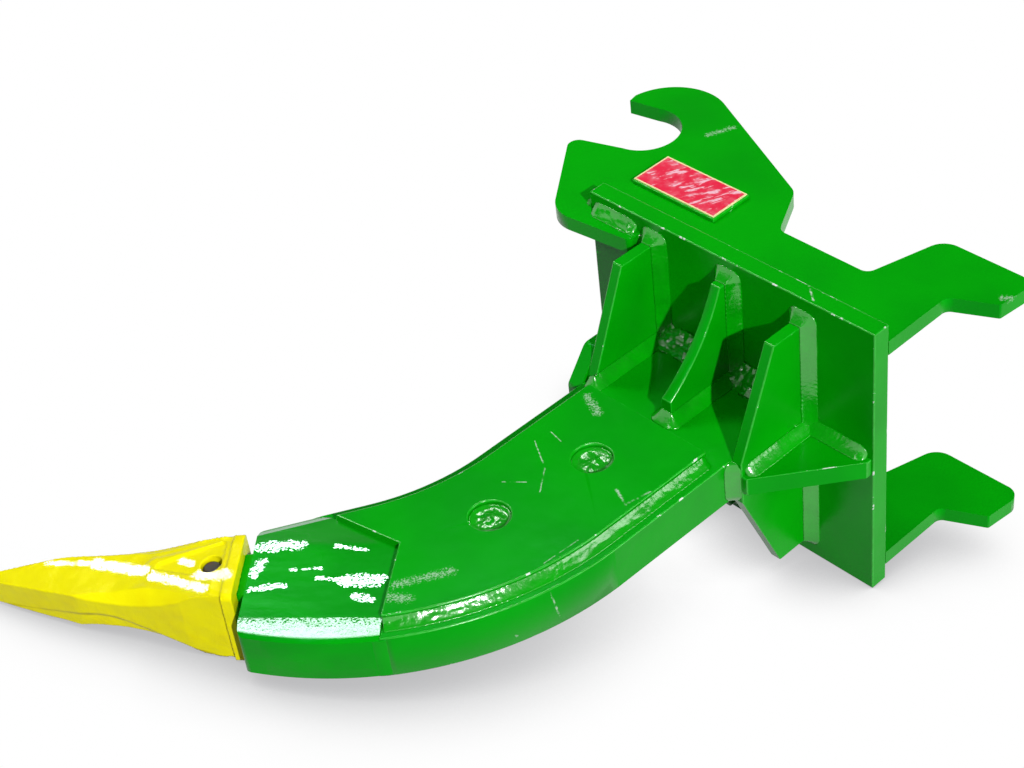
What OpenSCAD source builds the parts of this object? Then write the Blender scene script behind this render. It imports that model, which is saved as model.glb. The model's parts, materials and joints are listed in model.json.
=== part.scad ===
// Excavator ripper: one curved shank with cheek plates, a pinned cast tooth on a weld-on adapter,
// and a head plate with two hook-on coupler ears, lying on its side as it rests on a floor.
//
// Design axes, in millimetres: X runs along the head plate from the hooks to the rear feet,
// Y from the tooth up to the hooks, and Z across the ripper, with Z = 0 at its middle plane.
// The head plate's front end and its underside are X = 0 and Y = 0.
// The last step tips these axes so that the head plate's lower edge and the tooth's collar
// lie on one floor, with the origin at the middle of the hooks' pin line.

/* [Head plate] */
// Length from the hook end to the foot end
head_len = 448; // [420:1:520]
// Width across the ripper
head_w = 400; // [380:1:480]
// Thickness
head_t = 25; // [16:1:36]

/* [Hook ears] */
// Outside width over both ears
ear_span = 352; // [300:1:370]
// Thickness of an ear
ear_t = 20; // [12:1:30]
// Radius of the hook's seat
hook_r = 50; // [40:1:55]
// Distance of the hook's centre ahead of the head plate
hook_x = 70; // [60:1:85]
// Height of the hook's centre above the head plate's underside
hook_y = 167; // [155:1:185]
// Fall of the mouth's upper side, in degrees
mouth_upper_fall = 12; // [6:1:20]
// Fall of the mouth's lower side, in degrees
mouth_lower_fall = 19; // [12:1:26]
// Step from the seat to the mouth's sides
mouth_lip = 0.5; // [0.3:0.1:2]
// Length of the hook's tip past its seat
hook_tip_len = 52; // [35:1:62]
// Thickness of the hook's tip
hook_tip_t = 14; // [12:1:18]
// Radius of the hook's tip
hook_tip_r = 8; // [4:1:10]
// Length of the lower jaw past its seat
jaw_len = 84; // [70:1:95]
// Radius of the lower jaw's end
jaw_r = 14; // [8:1:20]
// Metal between the hook's seat and the ear's sloping back
back_wall = 66; // [50:1:75]
// Slope of the back, in degrees
back_slope = 25; // [20:1:30]
// Outside radius of the hook's crown
crown_r = 76; // [66:1:86]
// Radius where the back turns down into the bay
shoulder_r = 26; // [12:1:34]
// Lean of the shoulder's flank, in degrees
shoulder_lean = 28; // [15:1:40]
// Start of the bay's straight floor, from the head plate's front end
bay_x = 214; // [200:1:235]
// Length of the bay's straight floor
bay_len = 135; // [110:1:150]
// Height of the bay's floor
bay_y = 108; // [95:1:120]
// Radius in the bay's corners
bay_r = 14; // [6:1:20]
// Run of the foot's front flank
foot_flank = 30; // [18:1:40]
// Height of the foot's top
foot_top = 214; // [200:1:235]
// Radius of the foot's front corner
foot_r = 26; // [12:1:34]
// Reach of the foot past the head plate
foot_reach = 56; // [45:1:70]
// Spread of the foot's end between its wedge face and its top
foot_flare = 6; // [2:1:10]
// Radius of the foot's upper corner
foot_tip_r = 18; // [10:1:24]
// Height of the notch under the foot
notch_y = 128; // [118:1:138]
// Rise of the foot's wedge face, in degrees
wedge_rise = 26; // [18:1:34]
// Radius in the notch
notch_r = 12; // [6:1:16]
// Length of the lobe under the head plate
lobe_len = 86; // [60:1:92]
// Depth of the lobe at its front, under the head plate's underside
lobe_drop = 36; // [26:1:46]
// Depth of the lobe at its rear
lobe_rear_drop = 21; // [15:1:25]
// Distance of the ear's heel ahead of the head plate
heel_x = 32; // [25:1:40]
// Radius of the heel
heel_r = 45; // [30:1:50]

/* [Shank] */
// Distance of the leading edge behind the head plate's front end
shank_x = 100; // [96:1:112]
// Width of the shank at the head plate
shank_w = 235; // [226:1:245]
// Thickness of the core plate
core_t = 60; // [45:1:70]
// Slope of the leading edge above the adapter, in degrees
lead_slope = 60.4; // [57:0.2:64]
// Radius of the leading edge's bend
lead_r = 290; // [250:5:400]
// Slope of the trailing edge above the adapter, in degrees
trail_slope = 31; // [30:0.5:36]
// Radius of the trailing edge's bend
trail_r = 425; // [360:5:430]

/* [Cheek plates] */
// Thickness of a cheek plate
cheek_t = 15; // [10:1:20]
// Distance of a cheek plate's edge inside the core's edge
cheek_inset = 21; // [16:1:28]
// Distance of the cheek plates' upper end below the head plate
cheek_top = 140; // [136:1:160]
// Diameter of the plug weld holes
plug_d = 50; // [36:1:60]
// Depth of the plug welds' hollow
plug_dish = 8; // [4:1:9]
// Upper plug weld, distance behind the leading edge
plug_1_x = 119; // [100:1:135]
// Upper plug weld, distance below the head plate
plug_1_y = 233; // [215:1:250]
// Lower plug weld, distance behind the leading edge
plug_2_x = 98; // [85:1:115]
// Lower plug weld, distance below the head plate
plug_2_y = 378; // [350:1:395]

/* [Tooth adapter] */
// Place of the tooth's rear end, behind the head plate's front end
nose_x = 46; // [36:1:56]
// Place of the tooth's rear end, below the head plate
nose_depth = 624; // [600:1:650]
// Slope of the tooth's axis, in degrees
nose_angle = 42.4; // [40:0.2:45]
// Adapter at its front face, on the leading side of the tooth's axis
adapter_lead = 79; // [72:1:86]
// Adapter at its front face, on the trailing side of the tooth's axis
adapter_trail = 88; // [80:1:94]
// Thickness of the adapter's body
adapter_t = 74; // [73:1:80]
// Open gap between the adapter's front face and the tooth
adapter_gap = 8; // [4:1:12]
// Radius of the adapter's front corners
adapter_r = 10; // [4:1:16]
// Width of the bevels along the adapter's long edges
bevel_run = 16; // [8:1:20]
// Depth of those bevels
bevel_drop = 9; // [5:1:12]
// Joint with the shank: distance of its inner corner behind the tooth
joint_back = 178; // [165:1:190]
// Joint with the shank: distance of its inner corner from the tooth's axis, to the leading side
joint_side = 38; // [25:1:50]
// Angle of the joint's leading arm from the tooth's axis, in degrees
joint_lead_angle = 31; // [26:1:36]
// Angle of the joint's trailing arm from the tooth's axis, in degrees
joint_trail_angle = 86; // [80:1:92]
// Length of the nose inside the tooth
nose_len = 130; // [115:1:135]
// Nose at its root, on the leading side of the tooth's axis
nose_lead = 34; // [28:1:36]
// Nose at its root, on the trailing side of the tooth's axis
nose_trail = 30; // [24:1:32]
// Height of the nose's end
nose_end_h = 36; // [28:1:40]
// Thickness of the nose at its root
nose_t = 70; // [60:1:71]
// Thickness of the nose at its end
nose_end_t = 30; // [22:1:34]
// Play between the nose and the tooth's socket
nose_play = 0.3; // [0.2:0.1:1]

/* [Tooth] */
// Length of the tooth
tooth_len = 316; // [300:1:330]
// Collar, on the leading side of the tooth's axis
collar_lead = 53; // [48:1:58]
// Collar, on the trailing side of the tooth's axis
collar_trail = 52; // [46:1:56]
// Thickness of the collar across the ripper
collar_t = 108; // [102:1:114]
// Length of the collar's rim
collar_len = 14; // [10:1:18]
// Radius of the collar's corners
collar_r = 8; // [4:1:12]
// Step from the rim down to the tooth's body
collar_step = 3; // [1.5:0.5:4]
// Step from the rim down to the body on the trailing side
heel_step = 5; // [3:0.5:7]
// Length of the body's heel behind the waist
heel_len = 65; // [58:1:72]
// Fall of the heel along that length
heel_fall = 5; // [3:0.5:8]
// Distance of the waist behind the tip
waist_back = 166; // [158:1:174]
// Waist, on the trailing side of the tooth's axis
waist_trail = 25; // [22:1:28]
// Thickness at the waist
waist_t = 54; // [52:1:60]
// Distance of the trailing tip bevel's start behind the tip
tip_bevel = 122; // [115:1:128]
// Distance of the leading tip bevel's start behind the tip
tip_lead_bevel = 88; // [70:1:100]
// Height of the blade where the trailing bevel starts
blade_h = 67; // [62:1:70]
// Thickness of the blade there
blade_t = 50; // [44:1:52]
// Height of the blunt cutting edge
tip_h = 10; // [8:1:14]
// Width of the cutting edge across the ripper
tip_w = 32; // [26:1:36]
// Distance of the cutting edge's middle from the leading side
tip_lead = 23; // [16:1:30]
// Distance of the waist's scoops from the tooth's rear end
scoop_start = 50; // [44:1:60]
// Length of the waist's scoops
scoop_len = 160; // [150:1:166]
// Depth of the scoops on the trailing side, under their chord
scoop_trail = 13; // [9:1:15]
// Depth of the scoops on the leading side, under their chord
scoop_lead = 7; // [6:1:10]
// Depth of the three-cornered side panels
panel_deep = 3.5; // [2:0.5:5]
// Length of the side panels
panel_len = 104; // [85:1:108]
// Distance of the panels' corner from the leading side
panel_lead = 7; // [5:1:12]
// Reach of the panels past the tooth's axis
panel_trail = 20; // [14:1:26]
// Distance of the panels' front corner from the tooth's axis, to the leading side
panel_tip = 19; // [12:1:24]

/* [Tooth pin] */
// Diameter of the pin
pin_d = 22; // [16:1:26]
// Length of the pin
pin_len = 80; // [70:1:84]
// Distance of the pin from the tooth's rear end
pin_x = 35; // [30:1:42]
// Distance of the pin from the tooth's axis, to the leading side
pin_lead = 10; // [4:1:14]
// Play of the pin in the nose
pin_play = 0.2; // [0.1:0.05:0.5]
// Extra diameter of the tooth's pin holes over the pin
pin_hole_extra = 3; // [1:0.5:5]
// Outside diameter of the retainer ring
ring_d = 34; // [30:1:40]
// Thickness of the retainer ring
ring_t = 8; // [5:1:10]

/* [Braces] */
// Thickness of the side gussets
gusset_t = 15; // [10:1:20]
// Length of the front gussets along the shank
front_gusset_len = 125; // [105:1:130]
// Length of the front gussets' straight outer end
front_gusset_end = 64; // [45:1:75]
// Distance of the middle gussets behind the leading edge
middle_gusset_x = 120; // [105:1:135]
// Length of the middle gussets along the shank
middle_gusset_len = 115; // [100:1:125]
// Length of the middle gussets' narrow outer end
middle_gusset_end = 22; // [12:1:35]
// Height of the middle gussets' end above the core plate
middle_gusset_foot = 30; // [15:1:45]
// Radius of the middle gussets' hollow edge
middle_gusset_r = 240; // [180:5:400]
// Thickness of the rear plate
rear_t = 15; // [14:1:25]
// Width of the rear plate
rear_w = 340; // [300:1:364]
// Length of the rear plate along the shank
rear_len = 120; // [105:1:132]
// Length of the rear plate's straight sides
rear_side = 58; // [45:1:75]
// Thickness of the rear rib
rib_t = 25; // [15:1:30]
// Blunt height of the rib's ends
rib_blunt = 7; // [3:1:12]
// Distance of the rib's end from the head plate's end
rib_inset = 3; // [1:1:8]
// Thickness of the front plate
front_t = 20; // [12:1:30]
// Width of the front plate
front_w = 132; // [100:1:160]
// Length of the front plate along the shank
front_len = 138; // [125:1:150]
// Length of the front plate's straight sides
front_side = 104; // [90:1:115]
// Width of the front plate's narrow end
front_end_w = 44; // [30:1:58]
// Radius of the front plate's corners
front_r = 12; // [6:1:16]

/* [Welds] */
// Leg of the welds on gussets, ribs and ears
weld_leg = 14; // [8:0.5:14]
// Leg of the weld between the shank and the head plate
root_leg = 26; // [15:0.5:30]
// Leg of the welds along the cheek plates
cheek_leg = 12; // [8:0.5:13]
// Leg of the small weld at a lobe's end
lobe_leg = 6; // [4:0.5:7]
// Distance of a weld's end from the end of its joint
weld_stop = 6; // [3:0.5:10]

/* [Name plate] */
// Length of the plate
name_len = 138; // [110:1:146]
// Height of the plate
name_h = 66; // [50:1:74]
// Thickness of the plate's backing
name_t = 6; // [3:0.5:8]
// Thickness of the coloured face
name_face_t = 1.2; // [0.6:0.2:2]
// Distance of the coloured face inside the backing's edge
name_edge = 2; // [1:0.5:4]
// Distance of the plate behind the head plate's front end
name_x = 4; // [0:1:12]
// Distance of the plate above the head plate
name_y = 44; // [36:1:50]

/* [Hidden] */
$fn = 96;
paint = "green";
tooth_paint = "gold";
bare_steel = "dimgray";
// Longer than any cut needs
far = 1000;
// Overrun of a cut past the face that it opens
over = 1;
// Excess of a bend's radius, so that its arc crosses the edges it rounds
ease = 0.05;
// Break between the bead of a straight edge and the bead of the bend that follows it
bead_break = 0.1;
// Section of a weld bead with a leg of 1
bead_section = [[0, 0], [1, 0], [0.8, 0.36], [0.62, 0.62], [0.36, 0.8], [0, 1]];
// Side of the ripper: the upper half as it lies, and the lower half
UPPER = 1;
LOWER = -1;

core_z = core_t / 2;
cheek_z = core_z + cheek_t;
ear_z = ear_span / 2;
trail_x = shank_x + shank_w;
rear_x = trail_x + rear_t;
middle_x = shank_x + middle_gusset_x;
hook = [-hook_x, hook_y];
plugs = [[shank_x + plug_1_x, -plug_1_y], [shank_x + plug_2_x, -plug_2_y]];

// Vectors in a plane
function unit(v) = v / norm(v);
function turn(a, b) = a.x * b.y - a.y * b.x;
function ray(angle) = [cos(angle), sin(angle)];
// Crossing of the line through p at one angle and the line through q at another
function meet(p, angle_p, q, angle_q) =
    p + ray(angle_p) * turn(q - p, ray(angle_q)) / turn(ray(angle_p), ray(angle_q));
// A point given along and across the tooth's axis
function from_nose(along, across) =
    [nose_x, -nose_depth] + along * ray(180 + nose_angle) + across * ray(270 + nose_angle);

// Outlines are counter-clockwise lists of corners, each [x, y, radius]
function spot(c, i) = let (p = c[(i + len(c)) % len(c)]) [p.x, p.y];
function back_dir(c, i) = unit(spot(c, i - 1) - spot(c, i));
function next_dir(c, i) = unit(spot(c, i + 1) - spot(c, i));
function half_angle(c, i) = acos(back_dir(c, i) * next_dir(c, i)) / 2;
function convex(c, i) = turn(-back_dir(c, i), next_dir(c, i)) > 0;
function tangent(c, i) = c[i][2] / tan(half_angle(c, i));
function bend_start(c, i) = spot(c, i) + tangent(c, i) * back_dir(c, i);
function bend_end(c, i) = spot(c, i) + tangent(c, i) * next_dir(c, i);
function bend_centre(c, i) =
    spot(c, i) + unit(back_dir(c, i) + next_dir(c, i)) * c[i][2] / sin(half_angle(c, i));
function past_corner(c, i) = spot(c, i) + unit(spot(c, i) - bend_centre(c, i)) * tangent(c, i) / 4;
// The same outline with each edge moved inwards by d and its bends kept concentric
function inset(c, d) = [
    for (i = [0 : len(c) - 1])
        let (
            side = convex(c, i) ? 1 : -1,
            p = spot(c, i) + side * unit(back_dir(c, i) + next_dir(c, i)) * d / sin(half_angle(c, i))
        ) [p.x, p.y, c[i][2] > 0 ? max(0, c[i][2] - side * d) : 0]
];

// Circle that a bend follows
module bend_circle(c, i) {
    translate(bend_centre(c, i)) circle(c[i][2] + ease);
}

// Filled outline with true round corners: convex corners are trimmed outside their circles, and
// concave ones are first blunted and then hollowed by theirs
module outline(c) {
    bends = [for (i = [0 : len(c) - 1]) if (c[i][2] > 0) i];
    difference() {
        polygon([for (i = [0 : len(c) - 1])
            each c[i][2] > 0 && !convex(c, i) ? [bend_start(c, i), bend_end(c, i)] : [spot(c, i)]]);
        for (i = bends) if (convex(c, i)) difference() {
            polygon([bend_start(c, i), past_corner(c, i), bend_end(c, i)]);
            bend_circle(c, i);
        }
        for (i = bends) if (!convex(c, i)) bend_circle(c, i);
    }
}

// Plate of thickness t about Z = 0
module slab(t) {
    translate([0, 0, -t / 2]) linear_extrude(t) children();
}

// Plate across the ripper from X = x, with its outline drawn in Y and Z
module cross_plate(x, t) {
    translate([x, 0, 0]) rotate([90, 0, 90]) linear_extrude(t) children();
}

// The upper half of a mirrored pair, or the lower one
module on_side(side) {
    mirror([0, 0, side == UPPER ? 0 : 1]) children();
}

// Axes of the tooth: X along it to the tip, Y to the trailing side
module on_nose() {
    translate([nose_x, -nose_depth, 0]) rotate([0, 0, 180 + nose_angle]) children();
}

// Straight bar along a line, with its section drawn on the directions u and v
module bar(from, to, u, v) {
    ahead = cross(u, v) * (to - from) > 0;
    start = ahead ? from : to;
    w = unit(ahead ? to - from : from - to);
    multmatrix([
        [u.x, v.x, w.x, start.x],
        [u.y, v.y, w.y, start.y],
        [u.z, v.z, w.z, start.z]
    ]) linear_extrude(norm(to - from)) children();
}

// Weld bead along an inner corner, with its legs on the directions u and v
module bead(from, to, u, v, leg) {
    bar(from, to, u, v) polygon(leg * bead_section);
}

// Bead on the outside of a straight edge of an outline, from corner i to the next
module edge_bead(c, i, z, leg) {
    j = (i + 1) % len(c);
    from = c[i][2] > 0 ? bend_end(c, i) : spot(c, i);
    to = c[j][2] > 0 ? bend_start(c, j) : spot(c, j);
    d = next_dir(c, i);
    bead([from.x, from.y, z], [to.x, to.y, z], [d.y, -d.x, 0], [0, 0, 1], leg);
}

// Bead on the outside of a round corner of an outline
module bend_bead(c, i, z, leg) {
    mid = bend_centre(c, i);
    r = c[i][2] + ease;
    out = convex(c, i) ? 1 : -1;
    first = (convex(c, i) ? bend_start(c, i) : bend_end(c, i)) - mid;
    skip = asin(bead_break / r);
    translate([mid.x, mid.y, z])
        rotate([0, 0, atan2(first.y, first.x) + skip])
            rotate_extrude(angle = 180 - 2 * half_angle(c, i) - 2 * skip)
                polygon([for (p = leg * bead_section) [r + out * p.x, p.y]]);
}

// Lying at rest: the floor meets the head plate's lower edge and the collar's lower corner
contact = from_nose(collar_len, collar_trail - collar_r);
contact_drop = head_w / 2 - collar_t / 2 + collar_r;
contact_swing = norm([contact_drop, contact.y]);
rest_tilt = atan2(contact.y, contact_drop) + acos(0.99 * collar_r / contact_swing);
module at_rest() {
    rotate([rest_tilt, 0, 0]) translate([hook_x, -hook_y, 0]) children();
}

// Shank outline, from the head plate down the leading edge, round the adapter's face and back up
front_lead = from_nose(-adapter_gap, -adapter_lead);
front_trail = from_nose(-adapter_gap, adapter_trail);
lead_bend = meet([shank_x, 0], 90, front_lead, lead_slope);
trail_bend = meet([trail_x, 0], 90, front_trail, trail_slope);
shank_outline = [
    [shank_x, 0, 0],
    [lead_bend.x, lead_bend.y, lead_r],
    [front_lead.x, front_lead.y, adapter_r],
    [front_trail.x, front_trail.y, adapter_r],
    [trail_bend.x, trail_bend.y, trail_r],
    [trail_x, 0, 0]
];
cheek_outline = inset(shank_outline, cheek_inset);
LEAD_BEND = 1;
TRAIL_BEND = 4;

// Everything ahead of the joint between the shank and the adapter
module joint_region() {
    inner = [-joint_back, -joint_side];
    on_nose() slab(far) polygon([
        inner,
        inner + far * ray(-joint_lead_angle),
        inner + far * ray(joint_trail_angle)
    ]);
}

module shank_core() {
    color(paint) at_rest() difference() {
        slab(core_t) outline(shank_outline);
        joint_region();
    }
}

// Everything above the cheek plates' upper end
module above_cheeks() {
    translate([-far / 2, -cheek_top, -far / 2]) cube([far, far, far]);
}

module cheek_plate(side) {
    color(paint) at_rest() on_side(side) difference() {
        translate([0, 0, core_z]) linear_extrude(cheek_t) difference() {
            outline(cheek_outline);
            for (p = plugs) translate(p) circle(d = plug_d);
        }
        joint_region();
        above_cheeks();
    }
}

// Dished weld that fills the lower part of a plug hole
module cheek_plugs(side) {
    rim = cheek_t - plug_dish / 2;
    floor_z = cheek_t - plug_dish;
    color(paint) at_rest() on_side(side) for (p = plugs)
        translate([p.x, p.y, core_z]) rotate_extrude() polygon([
            [0, 0], [plug_d / 2, 0], [plug_d / 2, rim],
            [plug_d / 2 - plug_dish / 2, floor_z], [0, floor_z + plug_dish / 4]
        ]);
}

module cheek_welds(side) {
    color(paint) at_rest() on_side(side) difference() {
        union() {
            for (i = [0, LEAD_BEND, TRAIL_BEND]) edge_bead(cheek_outline, i, core_z, cheek_leg);
            for (i = [LEAD_BEND, TRAIL_BEND]) bend_bead(cheek_outline, i, core_z, cheek_leg);
        }
        joint_region();
        above_cheeks();
    }
}

// Nose at a distance from the tooth's rear end: half its thickness, and its trailing side
function nose_half(x) = (nose_end_t + (nose_t - nose_end_t) * (nose_len - x) / nose_len) / 2;
function nose_top(x) = nose_end_h - nose_lead + (nose_trail + nose_lead - nose_end_h) * (nose_len - x) / nose_len;

// Nose of the adapter, or with play the socket that takes it
module nose(start, play) {
    intersection() {
        slab(far) polygon([
            [start, -nose_lead - play], [nose_len, -nose_lead - play],
            [nose_len, nose_top(nose_len) + play], [start, nose_top(start) + play]
        ]);
        rotate([90, 0, 0]) slab(far) polygon([
            [start, -nose_half(start) - play], [nose_len, -nose_half(nose_len) - play],
            [nose_len, nose_half(nose_len) + play], [start, nose_half(start) + play]
        ]);
    }
}

// Section of the cut that bevels an edge, from a bevel's inner line to a little past the edge
bevel_reach = over * bevel_run / bevel_drop;
bevel_section = [
    [bevel_run + bevel_reach, -over], [-bevel_reach, bevel_drop + over], [-bevel_reach, -over]
];

// Bevel along the adapter's upper edge from p to q, with the metal on its left
module edge_bevel(p, q) {
    d = unit(q - p);
    bar([p.x, p.y, adapter_t / 2], [q.x, q.y, adapter_t / 2], [-d.y, d.x, 0], [0, 0, -1]) polygon(bevel_section);
}

// Bevel along the adapter's upper edge round a bend of the shank's outline
module bend_bevel(c, i) {
    mid = bend_centre(c, i);
    translate([mid.x, mid.y, adapter_t / 2]) rotate_extrude()
        polygon([for (p = bevel_section) [c[i][2] - p.x, -p.y]]);
}

ring_z = nose_half(pin_x + ring_d / 2) - ring_t - over;

module tooth_adapter() {
    color(paint) at_rest() difference() {
        union() {
            intersection() {
                slab(adapter_t) outline(shank_outline);
                joint_region();
            }
            on_nose() nose(-adapter_gap - over, 0);
        }
        for (side = [UPPER, LOWER]) on_side(side) {
            edge_bevel(lead_bend, front_lead + adapter_lead * ray(180 + lead_slope));
            bend_bevel(shank_outline, TRAIL_BEND);
        }
        on_nose() translate([pin_x, -pin_lead, 0]) {
            cylinder(d = pin_d + 2 * pin_play, h = far, center = true);
            translate([0, 0, ring_z]) cylinder(d = ring_d + 2 * pin_play, h = far);
        }
    }
}

// Tooth seen from its side: collar, heel, waist, blade and bevelled tip
blade_x = tooth_len - tip_bevel;
waist_x = tooth_len - waist_back;
body_lead = collar_lead - collar_step;
body_trail = collar_trail - heel_step;
body_t = collar_t - 2 * collar_step;
body_len = 2 * collar_len;
blade_trail = blade_h - body_lead;
tip_mid = tip_lead - body_lead;
tooth_side = [
    [0, -body_lead, 0],
    [tooth_len - tip_lead_bevel, -body_lead, 60],
    [tooth_len, tip_mid - tip_h / 2, 3],
    [tooth_len, tip_mid + tip_h / 2, 3],
    [blade_x, blade_trail, 60],
    [waist_x, waist_trail, 150],
    [heel_len, body_trail - heel_fall, 0],
    [0, body_trail, 0]
];
// Tooth seen from its edge: straight collar, tapering waist and blade
tooth_edge = [
    [0, -body_t / 2, 0],
    [body_len, -body_t / 2, 0],
    [waist_x, -waist_t / 2, 0],
    [blade_x, -blade_t / 2, 120],
    [tooth_len, -tip_w / 2, 3],
    [tooth_len, tip_w / 2, 3],
    [blade_x, blade_t / 2, 120],
    [waist_x, waist_t / 2, 0],
    [body_len, body_t / 2, 0],
    [0, body_t / 2, 0]
];

// Hollow scoop along one edge of the tooth: a wide round cut across the edge, facing out at the
// angle of facing in Y and Z, through edge points p and q, with its given depth between them
module scoop(p, q, facing, deep) {
    chord = norm(q - p);
    r = chord * chord / (8 * deep) + deep / 2;
    lean = atan2(q.y - p.y, q.x - p.x);
    mid = (p + q) / 2 + (r - deep) * ray(lean + 90);
    rotate([facing, 0, 0]) translate([mid.x, mid.y, 0]) cylinder(r = r, h = 3 * collar_t, center = true, $fn = 180);
}

// Distance of the tooth's body edge from its axis along a facing direction
function edge_out(y, z, facing) = y * cos(facing) + z * sin(facing);

panel_lean = atan2(body_t / 2 - waist_t / 2, waist_x - body_len);
scoop_end = scoop_start + scoop_len;
TRAIL_FACING = 54;
LEAD_FACING = 120;

// Solid tooth with its collar, before the scoops, panels and socket are cut
module tooth_blank() {
    intersection() {
        slab(far) outline(tooth_side);
        rotate([90, 0, 0]) slab(far) outline(tooth_edge);
    }
    rotate([90, 0, 90]) linear_extrude(collar_len) outline([
        [-collar_lead, -collar_t / 2, collar_r], [collar_trail, -collar_t / 2, collar_r],
        [collar_trail, collar_t / 2, collar_r], [-collar_lead, collar_t / 2, collar_r]
    ]);
}

// Scoops along the four edges of the tooth's waist
module tooth_scoops() {
    start_z = body_t / 2 - (scoop_start - body_len) * tan(panel_lean);
    end_z = blade_t / 2;
    for (side = [UPPER, LOWER]) on_side(side) {
        scoop([scoop_start, edge_out(body_trail - heel_fall, start_z, TRAIL_FACING)],
            [scoop_end, edge_out(blade_trail, end_z, TRAIL_FACING)], TRAIL_FACING, scoop_trail);
        scoop([scoop_start, edge_out(-body_lead, start_z, LEAD_FACING)],
            [scoop_end, edge_out(-body_lead, end_z, LEAD_FACING)], LEAD_FACING, scoop_lead);
    }
}

// Three-cornered recesses in the collar's broad sides
module tooth_panels() {
    for (side = [UPPER, LOWER]) on_side(side)
        translate([body_len, 0, body_t / 2]) rotate([0, panel_lean, 0])
            translate([0, 0, -panel_deep]) linear_extrude(far) outline([
                [-collar_len / 2, panel_lead - body_lead, 6], [panel_len - collar_len, -panel_tip, 6],
                [-collar_len / 2, panel_trail, 6]
            ]);
}

module tooth() {
    color(tooth_paint) at_rest() on_nose() difference() {
        difference() {
            difference() {
                difference() {
                    tooth_blank();
                    tooth_scoops();
                }
                tooth_panels();
            }
            nose(-over, nose_play);
        }
        translate([pin_x, -pin_lead, 0]) cylinder(d = pin_d + pin_hole_extra, h = far, center = true);
    }
}

module tooth_pin() {
    chamfer = pin_d / 10;
    color(bare_steel) at_rest() on_nose() translate([pin_x, -pin_lead, -pin_len / 2]) {
        cylinder(d1 = pin_d - 2 * chamfer, d2 = pin_d, h = chamfer);
        translate([0, 0, chamfer]) cylinder(d = pin_d, h = pin_len - 2 * chamfer);
        translate([0, 0, pin_len - chamfer]) cylinder(d1 = pin_d, d2 = pin_d - 2 * chamfer, h = chamfer);
    }
}

module pin_retainer() {
    color(bare_steel) at_rest() on_nose() translate([pin_x, -pin_lead, ring_z]) difference() {
        cylinder(d = ring_d, h = ring_t);
        translate([0, 0, -over]) cylinder(d = pin_d + 2 * pin_play, h = ring_t + 2 * over);
    }
}

module head_plate() {
    color(paint) at_rest() translate([0, 0, -head_w / 2]) cube([head_len, head_t, head_w]);
}

// Ear outline: lobe, foot with its wedge notch, bay, shoulder, hook with its mouth, and heel
mouth_top = hook + (hook_r - mouth_lip) * ray(90 + mouth_upper_fall);
mouth_foot = hook + (hook_r - mouth_lip) * ray(mouth_lower_fall - 90);
tip_inner = mouth_top + hook_tip_len * ray(180 + mouth_upper_fall);
tip_outer = tip_inner + hook_tip_t * ray(90 + mouth_upper_fall);
jaw_end = mouth_foot + jaw_len * ray(180 + mouth_lower_fall);
back_point = hook + (hook_r + back_wall) * ray(90 - back_slope);
crown = meet(back_point, -back_slope, tip_outer, 90 - mouth_upper_fall);
shoulder = meet(back_point, -back_slope, [bay_x, bay_y], 90 + shoulder_lean);
foot_end = [head_len + foot_reach, notch_y + foot_reach * tan(wedge_rise)];
ear_outline = [
    [lobe_len, -lobe_rear_drop, 8],
    [lobe_len, 0, 0],
    [0, 0, 0],
    [0, head_t, 0],
    [head_len, head_t, 0],
    [head_len, notch_y, notch_r],
    [foot_end.x, foot_end.y, 4],
    [foot_end.x + foot_flare, foot_top, foot_tip_r],
    [bay_x + bay_len + foot_flank, foot_top, foot_r],
    [bay_x + bay_len, bay_y, bay_r],
    [bay_x, bay_y, bay_r],
    [shoulder.x, shoulder.y, shoulder_r],
    [crown.x, crown.y, crown_r],
    [tip_outer.x, tip_outer.y, hook_tip_r],
    [tip_inner.x, tip_inner.y, 0],
    [mouth_top.x, mouth_top.y, 0],
    [mouth_foot.x, mouth_foot.y, 0],
    [jaw_end.x, jaw_end.y, jaw_r],
    [-heel_x, -lobe_drop, heel_r]
];

module hook_ear(side) {
    color(paint) at_rest() on_side(side) difference() {
        translate([0, 0, ear_z - ear_t]) linear_extrude(ear_t) outline(ear_outline);
        translate([hook.x, hook.y, 0]) cylinder(r = hook_r, h = far);
    }
}

module ear_welds(side) {
    inner_z = ear_z - ear_t;
    last_x = head_len - weld_stop;
    lobe_x = lobe_len - weld_stop;
    color(paint) at_rest() on_side(side) {
        bead([weld_stop, head_t, ear_z], [last_x, head_t, ear_z], [0, 1, 0], [0, 0, 1], weld_leg);
        bead([weld_stop, head_t, inner_z], [last_x, head_t, inner_z], [0, 1, 0], [0, 0, -1], weld_leg);
        bead([weld_stop, 0, ear_z], [lobe_x, 0, ear_z], [0, -1, 0], [0, 0, 1], weld_leg);
        bead([weld_stop, 0, inner_z], [lobe_x, 0, inner_z], [0, -1, 0], [0, 0, -1], weld_leg);
        bead([0, 0, ear_z], [0, head_t, ear_z], [-1, 0, 0], [0, 0, 1], weld_leg);
        bead([lobe_len, 0, inner_z], [lobe_len, 0, ear_z], [1, 0, 0], [0, -1, 0], lobe_leg);
    }
}

module front_gusset(side) {
    color(paint) at_rest() on_side(side) cross_plate(shank_x, gusset_t) polygon([
        [0, core_z], [0, ear_z], [-front_gusset_end, ear_z], [-front_gusset_len, core_z]
    ]);
}

module middle_gusset(side) {
    top = [-middle_gusset_end, ear_z];
    foot = [-middle_gusset_len, core_z + middle_gusset_foot];
    half = norm(top - foot) / 2;
    hollow = (top + foot) / 2 + sqrt(middle_gusset_r * middle_gusset_r - half * half)
        * unit([foot.y - top.y, top.x - foot.x]);
    color(paint) at_rest() on_side(side) cross_plate(middle_x, gusset_t) difference() {
        polygon([[0, core_z], [0, ear_z], top, foot, [-middle_gusset_len, core_z]]);
        translate(hollow) circle(middle_gusset_r, $fn = 180);
    }
}

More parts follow.
